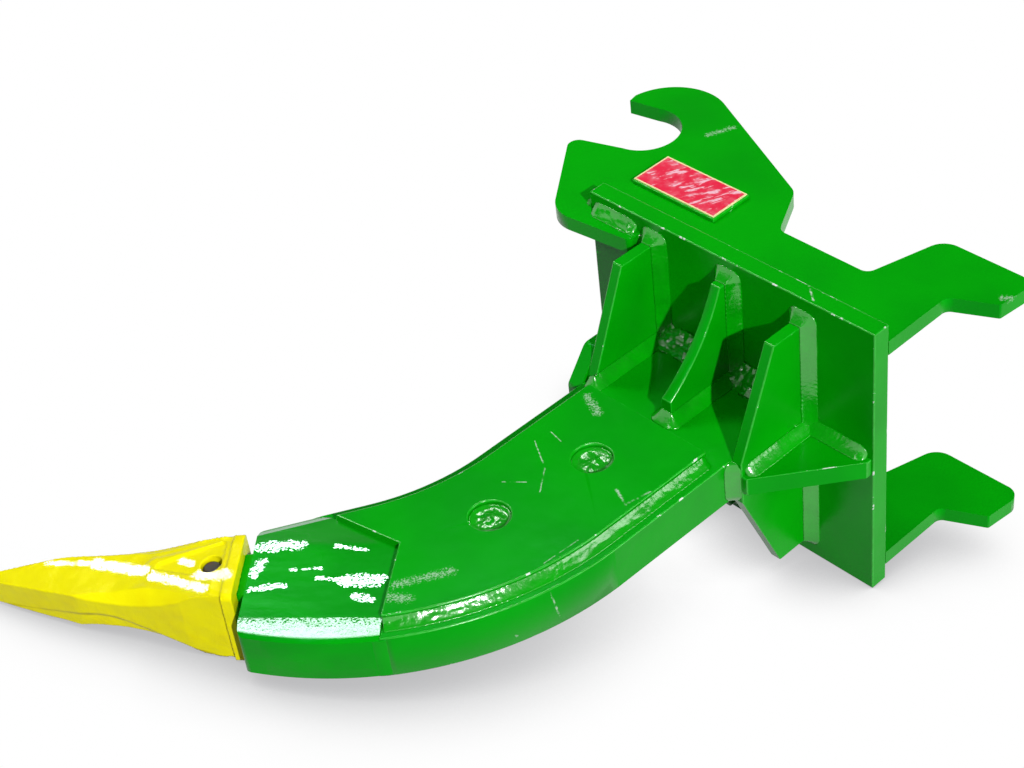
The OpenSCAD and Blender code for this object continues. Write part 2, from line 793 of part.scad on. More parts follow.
// Beads round the gussets' feet, and along the shank's root between them
module gusset_welds(side) {
    faces = [
        [shank_x + gusset_t, 1, front_gusset_len], [middle_x, -1, middle_gusset_len],
        [middle_x + gusset_t, 1, middle_gusset_len]
    ];
    color(paint) at_rest() on_side(side) {
        for (f = faces) {
            bead([f[0], 0, core_z], [f[0], 0, ear_z - weld_stop], [f[1], 0, 0], [0, -1, 0], weld_leg);
            bead([f[0], 0, core_z], [f[0], weld_stop - f[2], core_z], [f[1], 0, 0], [0, 0, 1], weld_leg);
        }
        bead([shank_x + gusset_t, 0, core_z], [middle_x, 0, core_z], [0, -1, 0], [0, 0, 1], root_leg);
        bead([middle_x + gusset_t, 0, core_z], [trail_x, 0, core_z], [0, -1, 0], [0, 0, 1], root_leg);
    }
}

module rear_plate() {
    color(paint) at_rest() cross_plate(trail_x, rear_t) polygon([
        [0, -rear_w / 2], [0, rear_w / 2], [-rear_side, rear_w / 2], [-rear_len, core_z],
        [-rear_len, -core_z], [-rear_side, -rear_w / 2]
    ]);
}

module rear_rib() {
    end_x = head_len - rib_inset;
    color(paint) at_rest() slab(rib_t) polygon([
        [rear_x, 0], [rear_x, -rear_len], [rear_x + rib_blunt, -rear_len], [end_x, -rib_blunt], [end_x, 0]
    ]);
}

// Beads of the rear plate and its rib, and the one under the plate's tip
module rear_welds() {
    rib_z = rib_t / 2;
    plate_z = rear_w / 2 - weld_stop;
    color(paint) at_rest() {
        for (side = [UPPER, LOWER]) on_side(side) {
            bead([rear_x, 0, rib_z], [rear_x, 0, plate_z], [1, 0, 0], [0, -1, 0], weld_leg);
            bead([rear_x, 0, rib_z], [rear_x, weld_stop - rear_len, rib_z], [1, 0, 0], [0, 0, 1], weld_leg);
            bead([rear_x, 0, rib_z], [head_len - rib_inset - weld_stop, 0, rib_z], [0, -1, 0], [0, 0, 1], weld_leg);
            bead([trail_x, 0, core_z + root_leg], [trail_x, 0, plate_z], [-1, 0, 0], [0, -1, 0], weld_leg);
        }
        bead([trail_x, -rear_len, -core_z], [trail_x, -rear_len, core_z], [1, 0, 0], [0, -1, 0], weld_leg);
    }
}

module front_plate() {
    color(paint) at_rest() cross_plate(shank_x - front_t, front_t) outline([
        [0, -front_w / 2, 0], [0, front_w / 2, 0], [-front_side, front_w / 2, front_r],
        [-front_len, front_end_w / 2, front_r], [-front_len, -front_end_w / 2, front_r],
        [-front_side, -front_w / 2, front_r]
    ]);
}

module front_welds() {
    plate_z = front_w / 2 - weld_stop;
    face_x = shank_x - front_t;
    color(paint) at_rest() bead([face_x, 0, -plate_z], [face_x, 0, plate_z], [-1, 0, 0], [0, -1, 0], weld_leg);
}

module name_plate() {
    color(paint) at_rest() translate([name_x, head_t + name_y, ear_z]) cube([name_len, name_h, name_t]);
}

module name_face() {
    color("crimson") at_rest() translate([name_x + name_edge, head_t + name_y + name_edge, ear_z + name_t])
        cube([name_len - 2 * name_edge, name_h - 2 * name_edge, name_face_t]);
}

shank_core();
cheek_plate(UPPER);  // cheek_plate_upper
cheek_plate(LOWER);  // cheek_plate_lower
cheek_plugs(UPPER);  // cheek_plugs_upper
cheek_plugs(LOWER);  // cheek_plugs_lower
cheek_welds(UPPER);  // cheek_welds_upper
cheek_welds(LOWER);  // cheek_welds_lower
tooth_adapter();
tooth();
tooth_pin();
pin_retainer();
head_plate();
hook_ear(UPPER);  // hook_ear_upper
hook_ear(LOWER);  // hook_ear_lower
ear_welds(UPPER);  // ear_welds_upper
ear_welds(LOWER);  // ear_welds_lower
front_gusset(UPPER);  // front_gusset_upper
front_gusset(LOWER);  // front_gusset_lower
middle_gusset(UPPER);  // middle_gusset_upper
middle_gusset(LOWER);  // middle_gusset_lower
gusset_welds(UPPER);  // gusset_welds_upper
gusset_welds(LOWER);  // gusset_welds_lower
rear_plate();
rear_rib();
rear_welds();
front_plate();
front_welds();
name_plate();
name_face();
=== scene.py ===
"""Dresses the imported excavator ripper: paint, cast finishes, weld beads, wear, floor, light and camera."""

import json
import math

import bmesh
import bpy
from bpy.props import FloatProperty, FloatVectorProperty, PointerProperty
from mathutils import Matrix, Vector, noise


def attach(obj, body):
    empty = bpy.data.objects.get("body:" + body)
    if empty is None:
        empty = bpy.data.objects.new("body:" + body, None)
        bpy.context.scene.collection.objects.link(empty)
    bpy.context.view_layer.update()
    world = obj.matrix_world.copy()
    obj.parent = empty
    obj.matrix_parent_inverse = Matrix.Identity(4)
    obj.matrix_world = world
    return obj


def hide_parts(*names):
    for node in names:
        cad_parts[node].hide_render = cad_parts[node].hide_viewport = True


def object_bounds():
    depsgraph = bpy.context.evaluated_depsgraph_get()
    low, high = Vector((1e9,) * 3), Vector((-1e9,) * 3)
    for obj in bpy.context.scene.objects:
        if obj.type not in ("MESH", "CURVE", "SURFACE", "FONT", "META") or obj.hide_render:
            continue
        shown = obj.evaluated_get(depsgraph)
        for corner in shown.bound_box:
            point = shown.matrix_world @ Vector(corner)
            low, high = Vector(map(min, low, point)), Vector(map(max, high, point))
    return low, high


bl_info = {
    "name": "Excavator Ripper Dressing",
    "version": (1, 0, 0),
    "blender": (4, 5, 0),
    "location": "3D View > Sidebar > Ripper",
    "description": "Paint, weld beads, wear, floor and light for an excavator ripper lying on its side",
    "category": "Object",
}

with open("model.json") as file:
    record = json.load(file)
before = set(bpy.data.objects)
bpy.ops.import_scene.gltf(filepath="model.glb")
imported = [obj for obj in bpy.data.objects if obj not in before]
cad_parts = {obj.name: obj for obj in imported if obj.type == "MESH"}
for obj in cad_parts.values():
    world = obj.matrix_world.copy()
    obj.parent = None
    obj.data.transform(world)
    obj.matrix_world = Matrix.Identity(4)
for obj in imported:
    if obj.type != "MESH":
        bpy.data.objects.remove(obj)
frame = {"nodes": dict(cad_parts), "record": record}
CAD_LOW, CAD_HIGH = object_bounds()

# The ripper's own axes, in metres: X along the head plate from its hook end, Y up to the hooks from
# the head plate's underside, and Z across. REST turns them into the frame in which it lies.
PIN_LINE = frame["record"]["mounts"][0]["axis"]
TILT = math.atan2(-PIN_LINE[1], PIN_LINE[2])
HOOK_CENTRE = Vector((-0.070, 0.167, 0.0))
REST = Matrix.Rotation(TILT, 4, "X") @ Matrix.Translation(-HOOK_CENTRE)

# Direction of the sun in the frame in which the ripper lies.
SUNWARD = REST.to_3x3() @ Vector((0.78, -0.28, 0.56))

X = Vector((1, 0, 0))
Y = Vector((0, 1, 0))
Z = Vector((0, 0, 1))

PLATES = (
    "shank_core", "cheek_plate_upper", "cheek_plate_lower", "head_plate", "hook_ear_upper", "hook_ear_lower",
    "front_gusset_upper", "front_gusset_lower", "middle_gusset_upper", "middle_gusset_lower",
    "rear_plate", "rear_rib", "front_plate", "name_plate",
)


def on_plane(z, *rows):
    """Strokes at one height across, each from point to point with its half width."""
    return tuple(((a, b, z), (c, d, z), half) for a, b, c, d, half in rows)


# Scratches through the paint, from point to point in the ripper's axes, with their half width.
SCRATCHES = on_plane(
    0.045,
    (0.146, -0.256, 0.189, -0.281, 0.0010),
    (0.189, -0.281, 0.214, -0.313, 0.0010),
    (0.278, -0.253, 0.304, -0.264, 0.0022),
    (0.304, -0.264, 0.311, -0.231, 0.0018),
    (0.149, -0.232, 0.170, -0.236, 0.0008),
    (0.168, -0.330, 0.190, -0.312, 0.0008),
    (0.301, -0.391, 0.304, -0.341, 0.0008),
) + on_plane(
    0.200,
    (0.329, 0.027, 0.354, 0.006, 0.0018),
    (0.353, 0.024, 0.384, 0.0245, 0.0012),
) + (
    ((0.322, -0.406, 0.029), (0.327, -0.398, -0.020), 0.0016),
    ((0.293, -0.480, 0.002), (0.295, -0.474, -0.006), 0.0040),
    ((0.313, -0.458, -0.027), (0.311, -0.452, -0.018), 0.0030),
)

# Pale speckled patches: scuffs on the ears and at the cheek plate's upper end; the two on the cheek plate
# beside the adapter are painted glints.
SCUFFS_AND_GLINTS = on_plane(
    0.176,
    (0.006, 0.208, 0.020, 0.240, 0.008),
    (0.496, 0.166, 0.514, 0.178, 0.008),
) + on_plane(
    0.045,
    (0.136, -0.158, 0.168, -0.172, 0.010),
    # These two are pale speckle painted where glints fall, a painted highlight.
    (0.199, -0.523, 0.231, -0.468, 0.011),
    (0.207, -0.541, 0.226, -0.528, 0.012),
)

# Sags of thick paint on the adapter's broad face.
SAGS = on_plane(
    0.037,
    (0.028, -0.581, 0.062, -0.548, 0.010),
    (0.057, -0.614, 0.048, -0.596, 0.008),
    (0.072, -0.631, 0.096, -0.603, 0.006),
    (0.083, -0.582, 0.107, -0.558, 0.003),
    (0.118, -0.569, 0.140, -0.552, 0.004),
    (0.145, -0.550, 0.173, -0.527, 0.012),
    (0.170, -0.562, 0.190, -0.551, 0.005),
    (0.095, -0.521, 0.125, -0.504, 0.004),
)

# Wet sags on the tooth's broad face.
SHINES = on_plane(
    0.0,
    (-0.160, -0.756, -0.118, -0.725, 0.005),
    (-0.112, -0.720, -0.052, -0.692, 0.010),
    (-0.036, -0.692, 0.042, -0.671, 0.007),
    (-0.024, -0.656, -0.008, -0.652, 0.006),
    (0.016, -0.660, 0.046, -0.644, 0.011),
)

# Where the shank's joint with the adapter meets its two edges, and each edge's outward direction.
JOINT_ENDS = (
    ((0.2357, -0.5818, 0.0), (0.766, -0.643, 0.0)),
    ((0.0329, -0.4999, 0.0), (-0.8695, 0.494, 0.0)),
)

# Gloss of each finish.
PLATE_GLOSS = {"Specular IOR Level": 0.2, "Specular Tint": (0.12, 1.0, 0.5, 1.0)}
EDGE_GLOSS = {"Specular IOR Level": 0.5}
WELD_GLOSS = {"IOR": 1.7, "Specular IOR Level": 0.6}
CAST_GLOSS = {"IOR": 2.0, "Specular IOR Level": 0.8, "Specular Tint": (0.8, 1.0, 0.98, 1.0)}
TOOTH_DULL = {"Specular IOR Level": 0.2, "Specular Tint": (1.0, 1.0, 0.1, 1.0)}
TOOTH_GLOSS = {"IOR": 2.0, "Specular IOR Level": 0.7}
NAME_GLOSS = {"Specular IOR Level": 0.4}

# Directions towards which the normal leans in wet sags, on the wet shoulder and in the tooth's sags.
SAG_LEAN = (0.184, 0.030, 1.0)
SHOULDER_LEAN = (0.310, -0.380, 0.870)
SHINE_LEAN = (0.081, -0.053, 0.995)

# A point on the edge of the adapter's shoulder and the direction across it, and the far bevel's place.
SHOULDER = ((0.1007, -0.6654), (0.664, -0.748))
FAR_BEVEL = (-0.112, -0.120)

# Heights over which the adapter's bevels and its broad faces begin, and the angle of the paint's flow.
BEVEL_START = (0.0305, 0.0322)
FACE_START = (0.0355, 0.0368)
FLOW = 42.4

# Points closer than this are joined, in the pieces made here and in the CAD's meshes.
JOIN = 0.000003
CAD_JOIN = 0.00001

# Distance between the stations along a bead.
STATION = 0.0015

# The tooth's own axes: from the nose of the adapter to the tip, and to the trailing side.
TOOTH_NOSE = Vector((0.046, -0.624, 0.0))
TOOTH_ALONG = Vector((-0.738, -0.674, 0.0))
TOOTH_TRAIL = Vector((0.674, -0.738, 0.0))

# The parting line on the tooth's flanks: two slopes, each with a start, its rise per length and its
# height there, the length over which they blend and the softness of the step.
PARTING_RISE = (0.148, 0.42, -0.002)
PARTING_SINK = (0.169, -0.129, -0.0013)
PARTING_BLEND = 0.020
PARTING_EDGE = 0.003
STEP_START = (0.06, 0.09)

# The tongue round the tooth's pin: middle line, half width at its tip, growth of the half width,
# softness of its edge, where the hollow round it ends, and where it starts along the tooth.
TONGUE = (Vector((-0.046, -0.679, 0.0)), Vector((0.060, -0.618, 0.0)))
TONGUE_TIP = 0.012
TONGUE_SPREAD = 0.31
TONGUE_EDGE = 0.004
TONGUE_HOLLOW = (0.010, 0.030)
TONGUE_START = (0.0, 0.03)

# Middles of the plug welds on the cheek plates.
PLUG_PLACES = ((0.219, -0.233), (0.198, -0.378))

# Lowest and highest corner of the name plate's coloured field.
NAME_FIELD = ((0.006, 0.071), (0.140, 0.133))

# Area lamps in the frame in which the ripper lies: place, target, direction of the length, length, width.
LAMPS = {
    "overhead": ((-0.66, -0.19, 2.10), (0.20, -0.60, -0.10), X, 0.50, 0.50),
    "strip": ((0.14, -2.00, 1.66), (0.24, -0.79, -0.14), (0.82, 0.49, 0.31), 1.00, 0.25),
    "rake": ((-1.32, -0.74, 1.85), (0.0, -0.86, -0.155), X, 0.45, 0.45),
    "fill": ((2.40, 0.20, 1.00), (0.25, -0.40, 0.0), X, 1.00, 1.00),
}

# The camera in the ripper's axes: its place, the way it looks, its upright direction and its lens.
CAMERA_PLACE = Vector((1.6197, -1.4555, 1.7126))
CAMERA_LOOK = Vector((-0.6015, 0.4803, -0.6384))
CAMERA_UP = Vector((-0.4121, 0.4981, 0.7630))
CAMERA_LENS = 75.05


def length(name, description, default):
    """A length property in metres."""
    return FloatProperty(name=name, description=description, default=default, unit="LENGTH", precision=4)


def amount(name, description, default, high=1.0):
    """A plain number property from 0 to a limit."""
    return FloatProperty(name=name, description=description, default=default, min=0.0, max=high)


def power(name, description, default):
    """The power of a lamp in watts."""
    return amount(name, description, default, high=200.0)


def angle(name, description, degrees):
    """An angle property."""
    return FloatProperty(name=name, description=description, default=math.radians(degrees), subtype="ANGLE")


def tint(name, description, default):
    """A colour property in linear values."""
    return FloatVectorProperty(
        name=name, description=description, default=default, subtype="COLOR", size=3, min=0.0, max=1.0)


class RipperSizes(bpy.types.PropertyGroup):
    """Sizes that the weld beads, the edge rounding and the tooth's skin follow."""

    head_len: length("Head plate length", "Length of the head plate", 0.448)
    head_t: length("Head plate thickness", "Thickness of the head plate", 0.025)
    ear_out: length("Ear outer face", "An ear's outer face from the middle plane", 0.176)
    ear_t: length("Ear thickness", "Thickness of an ear", 0.020)
    lobe_len: length("Lobe length", "Length of an ear's lobe", 0.086)
    lobe_leg: length("Lobe weld leg", "Leg of the weld across a lobe's end", 0.006)
    lead_x: length("Leading edge", "Place of the shank's leading edge", 0.100)
    trail_x: length("Trailing edge", "Place of the shank's trailing edge", 0.335)
    core_half: length("Half core", "Half the thickness of the core plate", 0.030)
    lead_r: length("Leading bend", "Radius of the leading edge's bend", 0.290)
    lead_y: length("Leading bend depth", "Depth of the leading bend's start", 0.3052)
    lead_turn: angle("Leading turn", "Angle of the leading edge's bend", 29.6)
    trail_r: length("Trailing bend", "Radius of the trailing edge's bend", 0.425)
    trail_y: length("Trailing bend depth", "Depth of the trailing bend's start", 0.3087)
    trail_turn: angle("Trailing turn", "Angle of the trailing edge's bend", 39.4)
    cheek_t: length("Cheek thickness", "Thickness of a cheek plate", 0.015)
    cheek_inset: length("Cheek inset", "Inset of a cheek plate's edge", 0.021)
    cheek_top: length("Cheek top", "Depth of the cheek plates' upper end", 0.140)
    cheek_tail: length("Cheek tail", "Straight end of a cheek's leading edge", 0.041)
    cheek_leg: length("Cheek weld leg", "Leg of the welds along the cheek plates", 0.012)
    plug_r: length("Plug radius", "Radius of the plug weld holes", 0.025)
    plug_dish: length("Plug dish", "Depth of the plug welds' hollow", 0.008)
    gusset_t: length("Gusset thickness", "Thickness of a side gusset", 0.015)
    front_gusset: length("Front gusset length", "Length of a front gusset", 0.125)
    middle_gusset: length("Middle gusset length", "Length of a middle gusset", 0.115)
    middle_x: length("Middle gusset", "Place of the middle gussets", 0.220)
    rear_t: length("Rear plate thickness", "Thickness of the rear plate", 0.015)
    rear_half: length("Half rear plate", "Half the width of the rear plate", 0.170)
    rear_len: length("Rear plate length", "Length of the rear plate", 0.120)
    rib_half: length("Half rib", "Half the thickness of the rear rib", 0.0125)
    front_t: length("Front plate thickness", "Thickness of the front plate", 0.020)
    front_half: length("Half front plate", "Half the width of the front plate", 0.066)
    leg: length("Weld leg", "Leg of the welds on gussets, ribs and ears", 0.014)
    root_leg: length("Root weld leg", "Leg of the weld at the shank's root", 0.026)
    weld_stop: length("Weld stop", "Stop of a weld short of a plate's end", 0.006)
    edge_round: length("Edge rounding", "Rounding of the painted plate edges", 0.0016)
    cast_round: length("Cast rounding", "Rounding of the adapter's edges", 0.0024)
    tooth_grid: length("Tooth grid", "Size of the faces of the tooth's skin", 0.0015)
    tooth_step: amount("Tooth step", "Narrowing of the tooth below its parting line", 0.07)
    tongue_rise: length("Tongue rise", "Height of the tongue round the tooth's pin", 0.0020)
    cast_lumps: length("Cast lumps", "Unevenness of the tooth's cast skin", 0.0008)


class RipperPaint(bpy.types.PropertyGroup):
    """Colours and gloss of the finishes."""

    green: tint("Green", "Paint of the plates", (0.0010, 0.395, 0.0018))
    green_deep: tint("Deep green", "Paint where it lies thick", (0.0006, 0.325, 0.0020))
    # Painted highlight: a lighter green for the rounded plate edges.
    green_edge_highlight: tint("Edge green", "Thin paint along the edges", (0.010, 0.480, 0.020))
    yellow: tint("Yellow", "Paint of the tooth", (0.980, 0.900, 0.003))
    yellow_shade: tint("Dark yellow", "Paint in the tooth's hollows", (0.900, 0.740, 0.002))
    # Painted shade: darker yellow along the tooth's parting line, where the step shades the flank.
    yellow_parting_shade: tint("Yellow line", "Paint in the crease along the tooth", (0.300, 0.190, 0.001))
    red: tint("Red", "Field of the name plate", (0.840, 0.016, 0.062))
    rubbed: tint("Rubbed red", "Pale places rubbed into the red", (0.950, 0.600, 0.700))
    cream: tint("Cream", "Border of the name plate", (0.950, 0.820, 0.420))
    # This pale colour serves bare chips and, on the cheek plate, painted glints.
    chip_and_glint: tint("Chip", "Bare patches where paint has gone", (0.760, 0.860, 0.780))
    pin: tint("Pin steel", "Bare steel of the tooth's pin", (0.050, 0.048, 0.045))
    plate_rough: amount("Plate roughness", "Roughness of the plates' paint", 0.24)
    weld_rough: amount("Weld roughness", "Roughness of the paint over the welds", 0.15)
    cast_rough: amount("Cast roughness", "Roughness of the adapter's thick paint", 0.12)


class RipperLight(bpy.types.PropertyGroup):
    """Strength of the studio light."""

    sun: amount("Sun", "Strength of the sun", 2.7, high=10.0)
    overhead: power("Overhead lamp", "Soft lamp overhead", 11.0)
    strip: power("Strip lamp", "Narrow lamp in front", 6.0)
    rake: power("Raking lamp", "Low lamp behind the tooth", 10.0)
    fill: power("Fill lamp", "Large lamp beside the feet", 14.0)
    sky: amount("Sky", "Strength of the even light from all round", 0.06)


class Wire:
    """A value socket that takes part in arithmetic; each step adds a Math node."""

    def __init__(self, finish, socket):
        self.finish = finish
        self.socket = socket

    def math(self, operation, *values):
        return self.finish.add("ShaderNodeMath", {"operation": operation}, dict(enumerate(values)))

    def __add__(self, other):
        return self.math("ADD", self, other)

    def __sub__(self, other):
        return self.math("SUBTRACT", self, other)

    def __rsub__(self, other):
        return self.math("SUBTRACT", other, self)

    def __mul__(self, other):
        return self.math("MULTIPLY", self, other)

    def __truediv__(self, other):
        return self.math("DIVIDE", self, other)

    def most(self, other):
        return self.math("MAXIMUM", self, other)

    def least(self, other):
        return self.math("MINIMUM", self, other)

    def step(self, low, high):
        """0 below low, 1 above high and smooth between; low may be the larger."""
        return self.finish.add(
            "ShaderNodeMapRange", {"interpolation_type": "SMOOTHSTEP"},
            {"Value": self, "From Min": low, "From Max": high, "To Min": 0.0, "To Max": 1.0})


class Finish:
    """One material under construction."""

    def __init__(self, name):
        self.material = bpy.data.materials.new(name)
        self.material.use_nodes = True
        self.tree = self.material.node_tree
        self.tree.nodes.clear()
        self.output = self.tree.nodes.new("ShaderNodeOutputMaterial")

    def add(self, kind, settings=None, sockets=None, out=0):
        """Adds a node, sets its settings and then its sockets, and returns one of its outputs."""
        made = self.tree.nodes.new(kind)
        for name, value in (settings or {}).items():
            setattr(made, name, value)
        for name, value in (sockets or {}).items():
            if isinstance(value, Wire):
                self.tree.links.new(value.socket, made.inputs[name])
            else:
                made.inputs[name].default_value = value
        return Wire(self, made.outputs[out])

    def place(self):
        """Position on the object in the ripper's own axes, in metres."""
        row = self.add("ShaderNodeTexCoord", out="Object")
        return self.add(
            "ShaderNodeMapping", {"vector_type": "POINT"},
            {"Vector": row, "Location": HOOK_CENTRE, "Rotation": (-TILT, 0.0, 0.0)})

    def along(self, place, degrees, stretch):
        """Position turned about Z and drawn out along the turned X, for streaks in one direction."""
        return self.add(
            "ShaderNodeMapping", {"vector_type": "TEXTURE"},
            {"Vector": place, "Rotation": (0.0, 0.0, math.radians(degrees)), "Scale": (stretch, 1.0, 1.0)})

    def noise(self, place, scale, detail=3.0, rough=0.5, warp=0.0):
        """Noise value at a number of cells per metre."""
        return self.add(
            "ShaderNodeTexNoise", {},
            {"Vector": place, "Scale": scale, "Detail": detail, "Roughness": rough, "Distortion": warp})

    def mix(self, mask, first, second):
        """Colour between two colours or sockets."""
        def rgba(value):
            return value if isinstance(value, Wire) else (*value, 1.0)
        return self.add(
            "ShaderNodeMix", {"data_type": "RGBA"}, {0: mask, 6: rgba(first), 7: rgba(second)}, out=2)

    def axis(self, place, name):
        """One coordinate of a position."""
        return self.add("ShaderNodeSeparateXYZ", {}, {"Vector": place}, out=name)

    def line(self, place, start, end):
        """Distance from a straight line between two points."""
        start = Vector(start)
        run = Vector(end) - start
        off = self.add("ShaderNodeVectorMath", {"operation": "SUBTRACT"}, {0: place, 1: start})
        along = self.add("ShaderNodeVectorMath", {"operation": "DOT_PRODUCT"}, {0: off, 1: run}, out="Value")
        share = self.add("ShaderNodeClamp", {}, {"Value": along / run.length_squared})
        foot = self.add("ShaderNodeVectorMath", {"operation": "SCALE"}, {0: run, "Scale": share})
        return self.add("ShaderNodeVectorMath", {"operation": "DISTANCE"}, {0: off, 1: foot}, out="Value")

    def strokes(self, place, strokes, ragged, outer, inner):
        """Mask of soft strokes, between two shares of each stroke's half width."""
        mask = None
        for start, end, half in strokes:
            stroke = (self.line(place, start, end) + ragged).step(half * outer, half * inner)
            mask = stroke if mask is None else mask.most(stroke)
        return mask

    def level(self, place):
        """Position with its height above the middle plane taken off."""
        return self.add("ShaderNodeVectorMath", {"operation": "MULTIPLY"}, {0: place, 1: (1.0, 1.0, 0.0)})

    def wear(self, place):
        """Mask of the scratches and scuffs on the plates, and of the pale speckled patches that paint glints
        on the cheek plate.
        """
        ragged = self.noise(place, 330.0, 3.0, 0.7) * 0.006 - 0.003
        mask = None
        for start, end, half in SCRATCHES:
            scratch = (self.line(place, start, end) + ragged * (half * 500)).step(half, half * 0.2)
            mask = scratch if mask is None else mask.most(scratch)
        mask = mask * self.noise(place, 120.0, 2.0, 0.6).step(0.36, 0.62) * 0.8
        grain = self.noise(place, 520.0, 3.0, 0.7)
        # Scuffs, and beside the adapter pale speckle that is a painted highlight of glints.
        for start, end, half in SCUFFS_AND_GLINTS:
            near = (self.line(place, start, end) + ragged).step(half, 0.0)
            mask = mask.most((grain + near * 0.16).step(0.60, 0.72) * near.step(0.0, 0.3) * 0.6)
        return mask

    def bump(self, height, strength, depth, normal=None):
        """Normal from a height, over another normal where one is given."""
        sockets = {"Height": height, "Strength": strength, "Distance": depth}
        if normal:
            sockets["Normal"] = normal
        return self.add("ShaderNodeBump", {}, sockets, out="Normal")

    def lie(self):
        """Normal of the surface as it lies."""
        return self.add("ShaderNodeNewGeometry", out="Normal")

    def lean(self, normal, way, share):
        """Normal brought towards a direction of the ripper's axes by a share."""
        aim = REST.to_3x3() @ Vector(way).normalized()
        mixed = self.add("ShaderNodeMix", {"data_type": "VECTOR"}, {0: share, 4: normal, 5: aim}, out=1)
        return self.add("ShaderNodeVectorMath", {"operation": "NORMALIZE"}, {0: mixed})

    def skin(self, fixed=None, **linked):
        """A Principled shader with fixed and varying inputs."""
        names = {"colour": "Base Color", "rough": "Roughness", "normal": "Normal"}
        sockets = {names[key]: value for key, value in linked.items()}
        sockets.update(fixed or {})
        return self.add("ShaderNodeBsdfPrincipled", {}, sockets)

    def end(self, surface):
        """Ends the material in a shader."""
        self.tree.links.new(surface.socket, self.output.inputs["Surface"])
        return self.material

    def shade(self, fixed=None, **linked):
        """Ends the material in one Principled shader."""
        return self.end(self.skin(fixed, **linked))


def sizes():
    """The sizes set in the scene."""
    return bpy.context.scene.ripper_sizes


def paint():
    """The colours set in the scene."""
    return bpy.context.scene.ripper_paint


def finish_nodes(names, *materials):
    """Gives CAD pieces their material, and one for their rounded edges where a second is given."""
    for name in names:
        mesh = frame["nodes"][name].data
        mesh.materials.clear()
        for material in materials:
            mesh.materials.append(material)


def round_edges(names, width, segments=2, edge_slot=-1):
    """Rounds the edges of CAD pieces as thick paint or a casting does."""
    sharp = math.radians(35.0)
    for name in names:
        obj = frame["nodes"][name]
        weld = obj.modifiers.new("join", "WELD")
        weld.merge_threshold = CAD_JOIN
        bevel = obj.modifiers.new("round", "BEVEL")
        bevel.width = width
        bevel.segments = segments
        bevel.limit_method = "ANGLE"
        bevel.angle_limit = sharp
        bevel.harden_normals = True
        bevel.use_clamp_overlap = True
        bevel.material = edge_slot


def plate_finish():
    """Glossy green on flat plate, with soft clouding, orange peel, scratches, scuffs and painted glint
    patches.
    """
    colours = paint()
    f = Finish("green_plate_paint")
    place = f.place()
    cloud = f.noise(place, 7.0, 3.0, 0.5)
    waves = f.noise(place, 24.0, 2.0, 0.5)
    peel = f.noise(place, 260.0, 2.0, 0.5)
    bare = f.wear(place)
    tone = f.mix(cloud.step(0.35, 0.75), colours.green, colours.green_deep)
    # The pale chip colour marks real wear and, in two cheek patches, painted glints.
    tone = f.mix(bare * 0.8, tone, colours.chip_and_glint)
    return f.shade(
        PLATE_GLOSS,
        colour=tone,
        rough=cloud * 0.12 + bare * 0.25 + (colours.plate_rough - 0.06),
        normal=f.bump(waves + peel * 0.12 - bare * 0.3, 0.35, 0.002))


def edge_finish():
    """Thin glossy paint along the rounded plate edges, lighter green in patches as a painted highlight, worn
    through in small chips.
    """
    colours = paint()
    f = Finish("green_edge_paint")
    place = f.place()
    worn = f.noise(place, 55.0, 4.0, 0.65, 0.4)
    across = f.axis(place, "Z")
    rim = across.math("ABSOLUTE", across).step(0.1965, 0.1985)
    bare = (worn + rim * 0.05).step(0.635, 0.66)
    # Painted highlight: lighter green in random patches over the rounded edges.
    tone = f.mix(worn.step(0.35, 0.65), colours.green, colours.green_edge_highlight)
    tone = f.mix(bare, tone, colours.chip_and_glint)
    return f.shade(
        EDGE_GLOSS,
        colour=tone,
        rough=bare * 0.25 + worn * 0.1 + 0.16,
        normal=f.bump(f.noise(place, 180.0, 2.0, 0.5) - bare * 0.5, 0.25, 0.0012))


def weld_finish():
    """The same green lying thick and wet over weld metal."""
    colours = paint()
    f = Finish("green_weld_paint")
    place = f.place()
    grain = f.noise(place, 210.0, 3.0, 0.55)
    cloud = f.noise(place, 40.0, 2.0, 0.5)
    tone = f.mix(cloud.step(0.3, 0.8), colours.green, colours.green_deep)
    return f.shade(
        WELD_GLOSS,
        colour=tone,
        rough=cloud * 0.12 + (colours.weld_rough - 0.04),
        normal=f.bump(grain * 0.5 + cloud * 2.0, 0.5, 0.0012))


